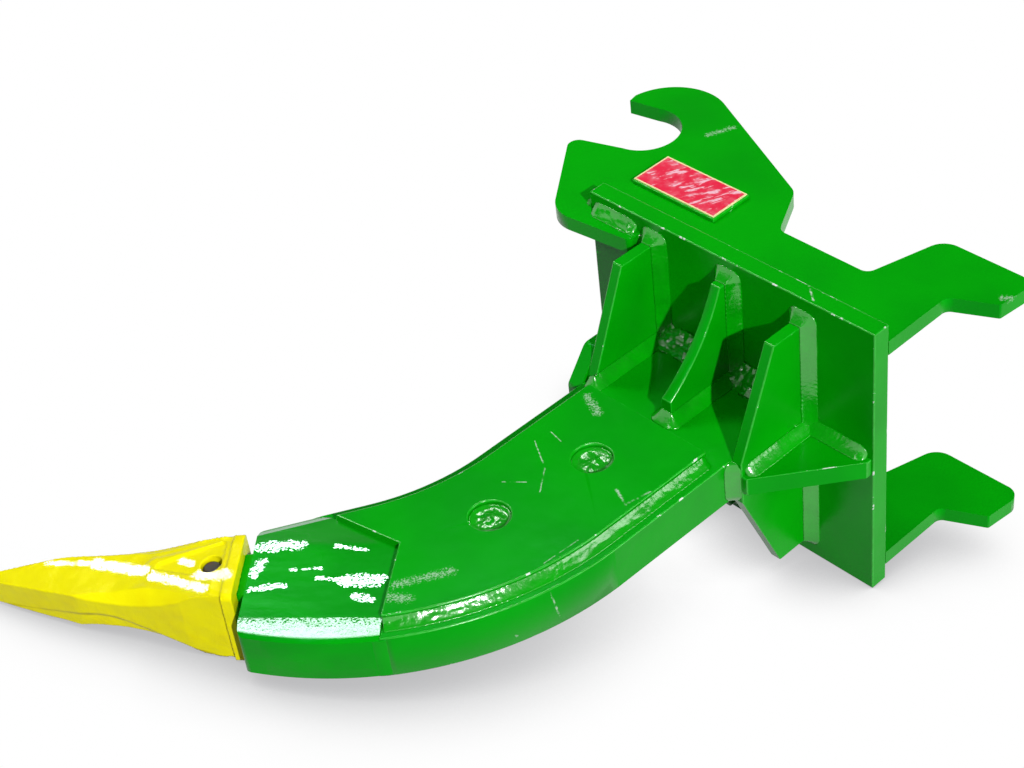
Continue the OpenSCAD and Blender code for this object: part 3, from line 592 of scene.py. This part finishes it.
def cast_finish():
    """Thick wet green over a rough casting, in long flows on its broad faces and bevels."""
    colours = paint()
    f = Finish("green_cast_paint")
    place = f.place()
    flows = f.along(place, FLOW, 1.9)
    lumps = f.noise(flows, 17.0, 2.0, 0.4, 0.3)
    ripples = f.noise(flows, 60.0, 2.0, 0.5)
    grains = f.noise(place, 420.0, 2.0, 0.6)
    wander = f.noise(flows, 75.0, 3.0, 0.6) * 0.012 - 0.006
    across = f.axis(place, "Z")
    upper = across.step(0.0, 0.01)
    depth = across.math("ABSOLUTE", across)
    flat = depth.step(*FACE_START)
    shown = depth.step(*BEVEL_START)
    tone = f.mix(lumps.step(0.3, 0.7), colours.green_deep, colours.green)
    spot, way = SHOULDER
    off = (f.axis(place, "X") - spot[0]) * way[0] + (f.axis(place, "Y") - spot[1]) * way[1]
    band = (off + wander * 0.3).step(-0.001, 0.001)
    broken = f.noise(f.along(place, FLOW, 1.4), 400.0, 2.0, 0.6)
    sags = f.strokes(place, SAGS, wander, 1.2, 0.2) * (1.0 - band) * flat
    glints = sags.step(0.05, 0.3) * (broken + sags * 0.16).step(0.55, 0.63)
    shoulder = upper * band * (broken + off * 9.0).step(0.40, 0.52)
    leaned = f.lean(f.lean(f.lie(), SAG_LEAN, glints), SHOULDER_LEAN, shoulder)
    height = lumps * 0.0010 + ripples * 0.0003 + (broken + grains) * 0.00008
    wet = f.skin(
        CAST_GLOSS,
        colour=tone,
        rough=lumps * 0.10 + (colours.cast_rough - 0.04),
        normal=f.bump(height, 1.0, 1.0, leaned))
    wall = f.skin(PLATE_GLOSS, colour=tone, rough=lumps * 0.12 + 0.2, normal=f.bump(ripples, 0.3, 0.002))
    far = off.step(*FAR_BEVEL)
    sheen = shown * glints.most(shoulder).most(far)
    return f.end(f.add("ShaderNodeMixShader", {}, {0: sheen, 1: wall, 2: wet}))


def yellow_finish():
    """Bright yellow over a sand-cast skin, wet in places, with painted shade along the parting line."""
    colours = paint()
    f = Finish("yellow_cast_paint")
    place = f.place()
    skin = f.noise(place, 420.0, 3.0, 0.65)
    lumps = f.noise(place, 30.0, 3.0, 0.5)
    wander = f.noise(place, 110.0, 3.0, 0.7) * 0.010 - 0.005
    across = f.axis(place, "X")
    up = f.axis(place, "Y")
    depth = f.axis(place, "Z")
    along = (TOOTH_NOSE.x - across) * -TOOTH_ALONG.x + (up - TOOTH_NOSE.y) * TOOTH_ALONG.y
    rise = slope(along, PARTING_RISE)
    over = depth - rise.math("SMOOTH_MIN", rise, slope(along, PARTING_SINK), PARTING_BLEND)
    wet = f.strokes(f.level(place), SHINES, wander, 1.3, 0.0) * depth.step(0.010, 0.016)
    wet = wet.step(0.05, 0.3) * (f.noise(place, 400.0, 2.0, 0.6) + wet * 0.30).step(0.56, 0.66)
    height = skin * 0.0003 + lumps * 0.0024
    # Painted shade: the colour is darkened along the step at the parting line.
    dark = (over.math("ABSOLUTE", over) + lumps * 0.008).step(0.0072, 0.0026) * 0.55
    tone = f.mix(lumps.step(0.45, 0.85) * 0.5, colours.yellow, colours.yellow_shade)
    tone = f.mix(dark, tone, colours.yellow_parting_shade)
    dull = f.skin(
        TOOTH_DULL,
        colour=tone,
        rough=skin * 0.12 + 0.18,
        normal=f.bump(height, 1.0, 1.0))
    shiny = f.skin(
        TOOTH_GLOSS,
        colour=tone,
        rough=skin * 0.10 + 0.10,
        normal=f.bump(height * 0.6, 1.0, 1.0, f.lean(f.lie(), SHINE_LEAN, wet)))
    return f.end(f.add("ShaderNodeMixShader", {}, {0: wet, 1: dull, 2: shiny}))


def pin_finish():
    """Dark bare steel with turning marks and a little rust bloom."""
    f = Finish("dark_pin_steel")
    place = f.place()
    bloom = f.noise(place, 120.0, 4.0, 0.6)
    tone = f.mix(bloom.step(0.5, 0.7), paint().pin, (0.10, 0.045, 0.02))
    return f.shade(
        {"Metallic": 0.6},
        colour=tone,
        rough=bloom * 0.3 + 0.35,
        normal=f.bump(f.noise(place, 500.0, 2.0, 0.5), 0.3, 0.0004))


def name_finish():
    """Red field with a thin cream border, scuffed and rubbed pale."""
    colours = paint()
    f = Finish("red_name_face")
    place = f.place()
    low, high = NAME_FIELD
    across = f.axis(place, "X")
    up = f.axis(place, "Y")
    edge = (across - low[0]).least(high[0] - across).least((up - low[1]).least(high[1] - up))
    grain = f.noise(place, 500.0, 2.0, 0.6)
    border = (edge + grain * 0.0012).step(0.0030, 0.0024)
    rub = f.noise(f.along(place, 62.0, 5.0), 150.0, 4.0, 0.65, 0.6)
    film = f.noise(place, 60.0, 3.0, 0.6)
    tone = f.mix(film.step(0.40, 0.80) * 0.25, colours.red, colours.rubbed)
    tone = f.mix((rub + film * 0.3).step(0.70, 0.78) * 0.9, tone, colours.rubbed)
    tone = f.mix(border, tone, colours.cream)
    return f.shade(
        NAME_GLOSS,
        colour=tone,
        rough=rub * 0.3 + 0.22,
        normal=f.bump(rub * 0.6 + film, 0.4, 0.0010))


class Run:
    """Stations along a joint: a point, the two directions that the weld's legs take, and their lengths."""

    def __init__(self, leg, taper=(False, True)):
        self.leg = leg
        self.taper = taper
        self.stations = []

    def straight(self, start, end, u, v):
        """Straight line between two points."""
        count = max(3, round((end - start).length / STATION))
        for i in range(count + 1):
            self.stations.append((start.lerp(end, i / count), u, v))
        return self

    def bend(self, centre, radius, first, last, side, v):
        """Arc about centre, between two angles, whose leg points out (side 1) or in (side -1)."""
        count = max(3, round(abs(last - first) * radius / STATION))
        for i in range(1, count):
            turned = first + (last - first) * i / count
            out = Vector((math.cos(turned), math.sin(turned), 0))
            self.stations.append((centre + out * radius, out * side, v))
        return self

    def turn(self, corner, first, last, v):
        """Goes round a plate's corner while the leg swings from one direction to another."""
        count = 12
        for i in range(1, count):
            swing = math.pi / 2 * i / count
            self.stations.append((corner, first * math.cos(swing) + last * math.sin(swing), v))
        return self


def bead_ring(point, u, v, leg, travelled, seed, rough):
    """One closed ring of a bead: its root, and a soft face between two scalloped toes."""
    pitch = 0.0062
    scallop_deep = 0.0006
    toe_wander = 0.04
    hollow = 1.18
    root_lift = 0.0003
    steps = 12
    drift = 0.25 * noise.noise(Vector((travelled * 35, seed, 5)))
    scallop = scallop_deep * abs(math.sin(math.pi * (travelled / pitch + drift)))
    toe_u = leg * (1 + toe_wander * noise.noise(Vector((travelled * 45, seed, 1))))
    toe_v = leg * (1 + toe_wander * noise.noise(Vector((travelled * 45, seed, 9))))
    ring = [point + (u + v) * root_lift]
    for i in range(steps + 1):
        q = i / steps
        arch = 4 * q * (1 - q)
        lift = 0.02 * arch
        if rough > 0.05:
            lift += 0.055 * math.cos(6 * math.pi * q) * arch
        if rough:
            lift += rough * noise.noise(Vector((travelled * 75, q * 3.1, seed)))
            lift += 0.4 * rough * noise.noise(Vector((travelled * 190, q * 7.0, seed)))
        across = toe_u * ((1 - q) ** hollow + lift) + scallop * (1 - q) ** 8
        up = toe_v * (q ** hollow + lift) + scallop * q ** 8
        ring.append(point + u * across + v * up)
    return ring


def bead_rings(run, seed, rough):
    """Rings of one bead along its run, in the ripper's axes."""
    spots = [station[0] for station in run.stations]
    steps = [0.0] + [(b - a).length for a, b in zip(spots, spots[1:])]
    total = sum(steps)
    travelled = 0.0
    rings = []
    for (point, u, v), step in zip(run.stations, steps):
        travelled += step
        room = min(
            travelled if run.taper[0] else total,
            total - travelled if run.taper[1] else total)
        size = run.leg * (0.35 + 0.65 * min(1.0, (room / (run.leg * 0.7)) ** 0.5))
        rings.append(bead_ring(point, u, v, size, travelled, seed, rough))
    return rings


def add_rings(mesh, rings):
    """Adds a closed skin over rings of points."""
    made = [[mesh.verts.new(REST @ p) for p in ring] for ring in rings]
    for a, b in zip(made, made[1:]):
        for i in range(len(a)):
            j = (i + 1) % len(a)
            mesh.faces.new((a[i], a[j], b[j], b[i])).smooth = 0 < i < len(a) - 1
    mesh.faces.new(made[0][::-1])
    mesh.faces.new(made[-1])
    return made


def bead_piece(name, runs, node, material):
    """Builds the beads of one weld node, from runs with their roughness, as a piece that stands for it."""
    mesh = bmesh.new()
    for count, (run, rough) in enumerate(runs):
        add_rings(mesh, bead_rings(run, count * 7.3, rough))
    return seat(name, mesh, node, material)


def seat(name, mesh, node, *materials, slot="green_paint"):
    """Turns a finished mesh into a piece that stands for a CAD node."""
    bmesh.ops.remove_doubles(mesh, verts=mesh.verts, dist=JOIN)
    bmesh.ops.recalc_face_normals(mesh, faces=mesh.faces)
    data = bpy.data.meshes.new(name)
    mesh.to_mesh(data)
    mesh.free()
    for material in materials:
        data.materials.append(material)
    piece = bpy.data.objects.new(name, data)
    bpy.context.scene.collection.objects.link(piece)
    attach(piece, "root")
    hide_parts(node)
    return piece


def at(x, y, z):
    """A point in the ripper's axes."""
    return Vector((x, y, z))


def round_plate(leg, low_x, high_x, root, top, side, taper=(False, False), last_root=None):
    """Bead on the head plate up one side of a cross plate, over its end and down the other side."""
    out = Z * side
    last = root if last_root is None else last_root
    high = at(high_x, 0, top * side)
    low = at(low_x, 0, top * side)
    run = Run(leg, taper)
    run.straight(at(high_x, 0, root * side), high, X, -Y)
    run.turn(high, X, out, -Y)
    run.straight(high, low, out, -Y)
    run.turn(low, out, -X, -Y)
    run.straight(low, at(low_x, 0, last * side), -X, -Y)
    return run


def gusset_runs(side):
    """Beads round the gussets of one half, and along the shank's root."""
    s = sizes()
    core = s.core_half * side
    out = Z * side
    front = s.lead_x + s.gusset_t
    front_end = s.lead_x + 0.004
    lobe_stop = 0.155
    middle = s.middle_x + s.gusset_t
    corner = at(front, -s.front_gusset, core)
    front_foot = Run(s.leg)
    front_foot.straight(at(front, 0, core), corner, X, out)
    front_foot.turn(corner, X, -Y, out)
    front_foot.straight(corner, at(front_end, -s.front_gusset, core), -Y, out)
    high = at(middle, -s.middle_gusset, core)
    low = at(s.middle_x, -s.middle_gusset, core)
    middle_foot = Run(s.leg, (False, False))
    middle_foot.straight(at(middle, 0, core), high, X, out)
    middle_foot.turn(high, X, -Y, out)
    middle_foot.straight(high, low, -Y, out)
    middle_foot.turn(low, -Y, -X, out)
    middle_foot.straight(low, at(s.middle_x, 0, core), -X, out)
    runs = [
        (round_plate(s.leg, s.lead_x, front, s.core_half, s.ear_out, side, (False, True), lobe_stop), 0.0),
        (round_plate(s.leg, s.middle_x, middle, s.core_half, s.ear_out, side), 0.0),
        (front_foot, 0.0),
        (middle_foot, 0.0),
    ]
    for first, last in ((front, s.middle_x), (middle, s.trail_x)):
        root = Run(s.root_leg, (False, False)).straight(at(first, 0, core), at(last, 0, core), -Y, out)
        runs.append((root, 0.11))
    return runs


def bead(leg, start, end, u, v, rough=0.0):
    """A straight run that tapers at both ends, with its roughness."""
    return Run(leg, (True, True)).straight(start, end, u, v), rough


def ear_runs(side):
    """Beads of one ear on the head plate."""
    s = sizes()
    outer = s.ear_out * side
    inner = (s.ear_out - s.ear_t) * side
    out = Z * side
    start = s.weld_stop
    last = s.head_len - s.weld_stop
    lobe = s.lobe_len - s.weld_stop
    return [
        bead(s.leg, at(start, s.head_t, outer), at(last, s.head_t, outer), Y, out),
        bead(s.leg, at(start, s.head_t, inner), at(last, s.head_t, inner), Y, -out),
        bead(s.leg, at(start, 0, outer), at(lobe, 0, outer), -Y, out, 0.04),
        bead(s.leg, at(start, 0, inner), at(lobe, 0, inner), -Y, -out),
        bead(s.leg, at(0, 0, outer), at(0, s.head_t, outer), -X, out),
        bead(s.lobe_leg, at(s.lobe_len, 0, inner), at(s.lobe_len, 0, outer), X, -Y),
    ]


def rear_runs():
    """Beads of the rear plate and its rib."""
    s = sizes()
    face = s.trail_x + s.rear_t
    rib_end = s.head_len - 0.009
    runs = []
    for side in (1, -1):
        rib = s.rib_half * side
        out = Z * side
        last = s.core_half + s.root_leg * 0.5
        runs += [
            (round_plate(s.leg, s.trail_x, face, s.rib_half, s.rear_half, side, (False, False), last), 0.0),
            (Run(s.leg).straight(at(face, 0, rib), at(face, s.weld_stop - s.rear_len, rib), X, out), 0.0),
            (Run(s.leg).straight(at(face, 0, rib), at(rib_end, 0, rib), -Y, out), 0.0),
        ]
    low = at(s.trail_x, -s.rear_len, -s.core_half)
    high = at(s.trail_x, -s.rear_len, s.core_half)
    runs.append(bead(s.leg, low, high, X, -Y))
    return runs


def cheek_runs(side):
    """Beads along the two edges of a cheek plate."""
    s = sizes()
    core = s.core_half * side
    out = Z * side
    lead = s.lead_x + s.cheek_inset
    trail = s.trail_x - s.cheek_inset
    trail_centre = at(s.trail_x - s.trail_r, -s.trail_y, core)
    trail_run = Run(s.cheek_leg, (True, False))
    trail_run.straight(at(trail, -s.cheek_top, core), at(trail, -s.trail_y, core), X, out)
    trail_run.bend(trail_centre, s.trail_r - s.cheek_inset, 0.0, -s.trail_turn, 1, out)
    lead_centre = at(s.lead_x - s.lead_r, -s.lead_y, core)
    lead_run = Run(s.cheek_leg, (True, False))
    lead_run.straight(at(lead, -s.cheek_top, core), at(lead, -s.lead_y, core), -X, out)
    lead_run.bend(lead_centre, s.lead_r + s.cheek_inset, 0.0, -s.lead_turn, -1, out)
    tail_way = at(-math.sin(s.lead_turn), -math.cos(s.lead_turn), 0)
    tail_out = at(-math.cos(s.lead_turn), math.sin(s.lead_turn), 0)
    tail = lead_centre - tail_out * (s.lead_r + s.cheek_inset)
    lead_run.straight(tail, tail + tail_way * s.cheek_tail, tail_out, out)
    return [(trail_run, 0.02), (lead_run, 0.02)]


def add_seams(mesh):
    """Adds the ground-down weld over the joint on the shank's two edges."""
    s = sizes()
    half = 0.009
    root = 0.004
    crown = 0.0011
    sunk = 0.0004
    rows = 20
    columns = 4
    for spot, outward in JOINT_ENDS:
        middle = Vector(spot)
        out = Vector(outward)
        side = out.cross(Z)
        rings = []
        for i in range(2 * rows + 1):
            z = (i / rows - 1) * (s.core_half - 0.002)
            ring = [middle + Z * z - out * root]
            for j in range(2 * columns + 1):
                q = j / columns - 1
                wander = 0.0007 * noise.noise(Vector((z * 120, q, spot[0] * 50)))
                lift = crown * (1 - q * q) - sunk
                ring.append(middle + Z * z + side * (q * half + wander) + out * lift)
            rings.append(ring)
        for spots in add_rings(mesh, rings):
            for vert in spots:
                for face in vert.link_faces:
                    face.material_index = 1


def add_plug(mesh, x, y, side):
    """Adds one dished plug weld with a lumpy face."""
    s = sizes()
    rows = 14
    around = 48
    floor = s.cheek_t - s.plug_dish
    swell = 0.002
    lumps = 0.0016
    grain = 0.0007
    points = []
    for row in range(rows + 1):
        share = row / rows
        ring = []
        for i in range(around):
            turn = 2 * math.pi * i / around
            spot = at(math.cos(turn), math.sin(turn), 0) * (s.plug_r * share)
            rise = floor + s.plug_dish * 0.5 * share ** 6 + swell * (1 - share) ** 2
            rise += lumps * noise.noise(spot * 90 + at(x * 40, y * 40, 2)) * (1 - share ** 8)
            rise += grain * noise.noise(spot * 260 + at(x * 40, y * 40, 7)) * (1 - share ** 8)
            ring.append(at(x, y, (s.core_half + rise) * side) + spot)
        points.append(ring)
    made = [[mesh.verts.new(REST @ p) for p in ring] for ring in points[1:]]
    crown = mesh.verts.new(REST @ points[0][0])
    base = [mesh.verts.new(REST @ at(p.x, p.y, s.core_half * side)) for p in points[-1]]
    for i in range(around):
        j = (i + 1) % around
        mesh.faces.new((crown, made[0][i], made[0][j])).smooth = True
        for a, b in zip(made, made[1:]):
            mesh.faces.new((a[i], b[i], b[j], a[j])).smooth = True
        mesh.faces.new((made[-1][i], base[i], base[j], made[-1][j]))
    mesh.faces.new(base)


def smooth(value, low, high):
    """0 below low, 1 above high and smooth between."""
    share = min(1.0, max(0.0, (value - low) / (high - low)))
    return share * share * (3 - 2 * share)


def slope(along, line):
    """Height of a straight line at a distance, for numbers and for wires."""
    start, rate, height = line
    return (along - start) * rate + height


def parting_height(along):
    """Height of the parting line on the tooth's flanks, at a distance from the adapter's nose."""
    rise = slope(along, PARTING_RISE)
    sink = slope(along, PARTING_SINK)
    near = max(PARTING_BLEND - abs(rise - sink), 0.0) / PARTING_BLEND
    return min(rise, sink) - near ** 3 * PARTING_BLEND / 6


def tongue_out(p):
    """Distance of a point outside the tongue round the tooth's pin."""
    start, end = TONGUE
    run = end - start
    off = Vector((p.x, p.y, 0.0)) - start
    way = off.dot(run.normalized())
    foot = run * min(1.0, max(0.0, way / run.length))
    return (off - foot).length - (TONGUE_TIP + TONGUE_SPREAD * max(way, 0.0))


def cast_move(p, normal):
    """Move of a point from the tooth's plain form to its cast skin."""
    s = sizes()
    along = (p - TOOTH_NOSE).dot(TOOTH_ALONG)
    trail = (p - TOOTH_NOSE).dot(TOOTH_TRAIL)
    depth = s.cast_lumps * (0.5 + 0.5 * noise.noise(p * 60))
    on_broad_face = normal.z * p.z > 0 and abs(normal.z) > 0.5
    if on_broad_face:
        out = tongue_out(p)
        ring = smooth(out, -TONGUE_EDGE, TONGUE_EDGE) * (1 - smooth(out, *TONGUE_HOLLOW))
        depth += s.tongue_rise * ring * smooth(along, *TONGUE_START)
    below = 1 - smooth(p.z - parting_height(along), -PARTING_EDGE, PARTING_EDGE)
    inward = s.tooth_step * trail * below * smooth(along, *STEP_START)
    return normal * -depth - TOOTH_TRAIL * inward


def tooth_skin():
    """Mesh of the tooth with stepped flanks, a tongue round its pin and an uneven cast skin."""
    form = bpy.data.objects.new("tooth_form", frame["nodes"]["tooth"].data)
    bpy.context.scene.collection.objects.link(form)
    grid = form.modifiers.new("grid", "REMESH")
    grid.mode = "VOXEL"
    grid.voxel_size = sizes().tooth_grid
    graph = bpy.context.evaluated_depsgraph_get()
    fine = bpy.data.meshes.new_from_object(form.evaluated_get(graph))
    mesh = bmesh.new()
    mesh.from_mesh(fine)
    bpy.data.objects.remove(form)
    bpy.data.meshes.remove(fine)
    back = REST.inverted()
    turn = back.to_3x3()
    mesh.normal_update()
    moves = [cast_move(back @ vert.co, turn @ vert.normal) for vert in mesh.verts]
    ahead = REST.to_3x3()
    for vert, move in zip(mesh.verts, moves):
        vert.co += ahead @ move
    for face in mesh.faces:
        face.smooth = True
    return mesh


class RIPPER_OT_plates(bpy.types.Operator):
    """Paints the plates green and rounds their edges"""

    bl_idname = "ripper.plates"
    bl_label = "Painted Plates"

    def execute(self, context):
        finish_nodes(PLATES, plate_finish(), edge_finish())
        round_edges(PLATES, sizes().edge_round, edge_slot=1)
        return {"FINISHED"}


class RIPPER_OT_welds(bpy.types.Operator):
    """Lays soft rippled weld beads along the joints"""

    bl_idname = "ripper.welds"
    bl_label = "Weld Beads"

    def execute(self, context):
        material = weld_finish()
        ground = bpy.data.materials["green_plate_paint"]
        s = sizes()
        for name, side in (("upper", 1), ("lower", -1)):
            bead_piece("gusset_beads_" + name, gusset_runs(side), "gusset_welds_" + name, material)
            bead_piece("ear_beads_" + name, ear_runs(side), "ear_welds_" + name, material)
            mesh = bmesh.new()
            for count, (run, rough) in enumerate(cheek_runs(side)):
                add_rings(mesh, bead_rings(run, count * 5.1, rough))
            if side > 0:
                add_seams(mesh)
            seat("cheek_beads_" + name, mesh, "cheek_welds_" + name, material, ground)
            mesh = bmesh.new()
            for x, y in PLUG_PLACES:
                add_plug(mesh, x, y, side)
            seat("plug_beads_" + name, mesh, "cheek_plugs_" + name, material)
        bead_piece("rear_beads", rear_runs(), "rear_welds", material)
        face = s.lead_x - s.front_t
        edge = s.front_half - s.weld_stop
        front = bead(s.leg, at(face, 0, -edge), at(face, 0, edge), -X, -Y)
        bead_piece("front_beads", [front], "front_welds", material)
        return {"FINISHED"}


class RIPPER_OT_adapter(bpy.types.Operator):
    """Finishes the cast tooth adapter"""

    bl_idname = "ripper.adapter"
    bl_label = "Cast Adapter"

    def execute(self, context):
        finish_nodes(("tooth_adapter",), cast_finish())
        round_edges(("tooth_adapter",), sizes().cast_round, 3)
        return {"FINISHED"}


class RIPPER_OT_tooth(bpy.types.Operator):
    """Finishes the cast tooth and its pin"""

    bl_idname = "ripper.tooth"
    bl_label = "Tooth and Pin"

    def execute(self, context):
        seat("tooth_skin", tooth_skin(), "tooth", yellow_finish(), slot="yellow_paint")
        finish_nodes(("tooth_pin", "pin_retainer"), pin_finish())
        return {"FINISHED"}


class RIPPER_OT_name_plate(bpy.types.Operator):
    """Colours the plate on the upper ear"""

    bl_idname = "ripper.name_plate"
    bl_label = "Name Plate"

    def execute(self, context):
        finish_nodes(("name_face",), name_finish())
        return {"FINISHED"}


class RIPPER_OT_stage(bpy.types.Operator):
    """Sets the floor, the light and the camera"""

    bl_idname = "ripper.stage"
    bl_label = "Floor, Light and Camera"

    def execute(self, context):
        scene = context.scene
        scene.view_settings.view_transform = "Standard"
        self.floor(scene)
        self.world(scene)
        light = scene.ripper_light
        sun = self.lamp(scene, "sun", "SUN", light.sun, SUNWARD * 3, (0.0, 0.0, 0.0))
        sun.angle = math.radians(1.2)
        for name, (place, target, long_way, size, width) in LAMPS.items():
            lamp = self.lamp(scene, name, "AREA", getattr(light, name), place, target, long_way)
            lamp.shape = "RECTANGLE"
            lamp.size = size
            lamp.size_y = width
        self.camera(scene)
        return {"FINISHED"}

    def floor(self, scene):
        """A pale floor that curves up far away, with the object's soft shadow on it."""
        mesh = bmesh.new()
        flat = 12.0
        cove = 14.0
        drop = 0.0005
        shadow_reach = 0.135
        profile = [(0.0, 0.0), (2.0, 0.0), (6.0, 0.0), (flat, 0.0)]
        for i in range(1, 17):
            rise = math.radians(5.0 * i)
            profile.append((flat + cove * math.sin(rise), cove * (1 - math.cos(rise))))
        centre = mesh.verts.new((0, 0, 0))
        around = 64
        rings = []
        for out, up in profile[1:]:
            turns = [2 * math.pi * i / around for i in range(around)]
            rings.append([mesh.verts.new((out * math.cos(t), out * math.sin(t), up)) for t in turns])
        for i in range(around):
            j = (i + 1) % around
            mesh.faces.new((centre, rings[0][i], rings[0][j])).smooth = True
            for a, b in zip(rings, rings[1:]):
                mesh.faces.new((a[i], b[i], b[j], a[j])).smooth = True
        data = bpy.data.meshes.new("floor")
        mesh.to_mesh(data)
        mesh.free()
        floor = bpy.data.objects.new("floor", data)
        floor.location.z = CAD_LOW[2] - drop
        floor.visible_shadow = False
        scene.collection.objects.link(floor)
        f = Finish("white_floor")
        card = f.add("ShaderNodeBsdfDiffuse", {}, {"Color": (0.15, 0.15, 0.15, 1.0)})
        white = f.add("ShaderNodeEmission", {}, {"Color": (1.0, 1.0, 1.0, 1.0), "Strength": 1.0})
        grey = f.add("ShaderNodeEmission", {}, {"Color": (0.50, 0.50, 0.51, 1.0), "Strength": 1.0})
        open_air = f.add("ShaderNodeAmbientOcclusion", {"samples": 16}, {"Distance": shadow_reach}, out="AO")
        lit = f.add("ShaderNodeMixShader", {}, {0: open_air.step(0.15, 0.97), 1: grey, 2: white})
        camera = f.add("ShaderNodeLightPath", out="Is Camera Ray")
        glossy = f.add("ShaderNodeLightPath", out="Is Glossy Ray")
        through = f.add("ShaderNodeLightPath", out="Is Transmission Ray")
        seen = camera.most(glossy).most(through)
        data.materials.append(f.end(f.add("ShaderNodeMixShader", {}, {0: seen, 1: card, 2: lit})))

    def world(self, scene):
        """An even pale light from all round."""
        world = bpy.data.worlds.new("studio")
        world.use_nodes = True
        sky = world.node_tree.nodes["Background"].inputs
        sky["Color"].default_value = (0.92, 0.97, 1.0, 1.0)
        sky["Strength"].default_value = scene.ripper_light.sky
        scene.world = world

    def lamp(self, scene, name, kind, energy, place, target, long_way=X):
        """Adds a lamp at a place, aimed at a target and lying along a direction, and returns its settings."""
        light = bpy.data.lights.new(name, kind)
        light.energy = energy
        lamp = bpy.data.objects.new(name, light)
        back = (Vector(place) - Vector(target)).normalized()
        side = back.cross(Vector(long_way)).normalized()
        axes = Matrix((side.cross(back), side, back)).transposed().to_4x4()
        lamp.matrix_world = Matrix.Translation(Vector(place)) @ axes
        scene.collection.objects.link(lamp)
        return light

    def camera(self, scene):
        """The camera at the photograph's angle."""
        turn = REST.to_3x3()
        look = (turn @ CAMERA_LOOK).normalized()
        right = look.cross(turn @ CAMERA_UP).normalized()
        up = right.cross(look)
        data = bpy.data.cameras.new("camera")
        data.sensor_width = 36.0
        data.lens = CAMERA_LENS
        data.clip_end = 200.0
        camera = bpy.data.objects.new("camera", data)
        axes = Matrix((right, up, -look)).transposed().to_4x4()
        camera.matrix_world = Matrix.Translation(REST @ CAMERA_PLACE) @ axes
        scene.collection.objects.link(camera)
        scene.camera = camera


class RIPPER_PT_panel(bpy.types.Panel):
    """Lists the steps that dress the ripper"""

    bl_idname = "RIPPER_PT_panel"
    bl_label = "Ripper"
    bl_space_type = "VIEW_3D"
    bl_region_type = "UI"
    bl_category = "Ripper"

    def draw(self, context):
        for step in STEPS:
            self.layout.operator(step.bl_idname)


STEPS = (
    RIPPER_OT_stage,
    RIPPER_OT_plates,
    RIPPER_OT_welds,
    RIPPER_OT_adapter,
    RIPPER_OT_tooth,
    RIPPER_OT_name_plate,
)
CLASSES = (RipperSizes, RipperPaint, RipperLight) + STEPS + (RIPPER_PT_panel,)


def register():
    for cls in CLASSES:
        bpy.utils.register_class(cls)
    bpy.types.Scene.ripper_sizes = PointerProperty(type=RipperSizes)
    bpy.types.Scene.ripper_paint = PointerProperty(type=RipperPaint)
    bpy.types.Scene.ripper_light = PointerProperty(type=RipperLight)


def unregister():
    del bpy.types.Scene.ripper_light
    del bpy.types.Scene.ripper_paint
    del bpy.types.Scene.ripper_sizes
    for cls in reversed(CLASSES):
        bpy.utils.unregister_class(cls)


def main():
    register()
    bpy.ops.ripper.stage()
    bpy.ops.ripper.plates()
    bpy.ops.ripper.welds()
    bpy.ops.ripper.adapter()
    bpy.ops.ripper.tooth()
    bpy.ops.ripper.name_plate()


if __name__ == "__main__":
    main()
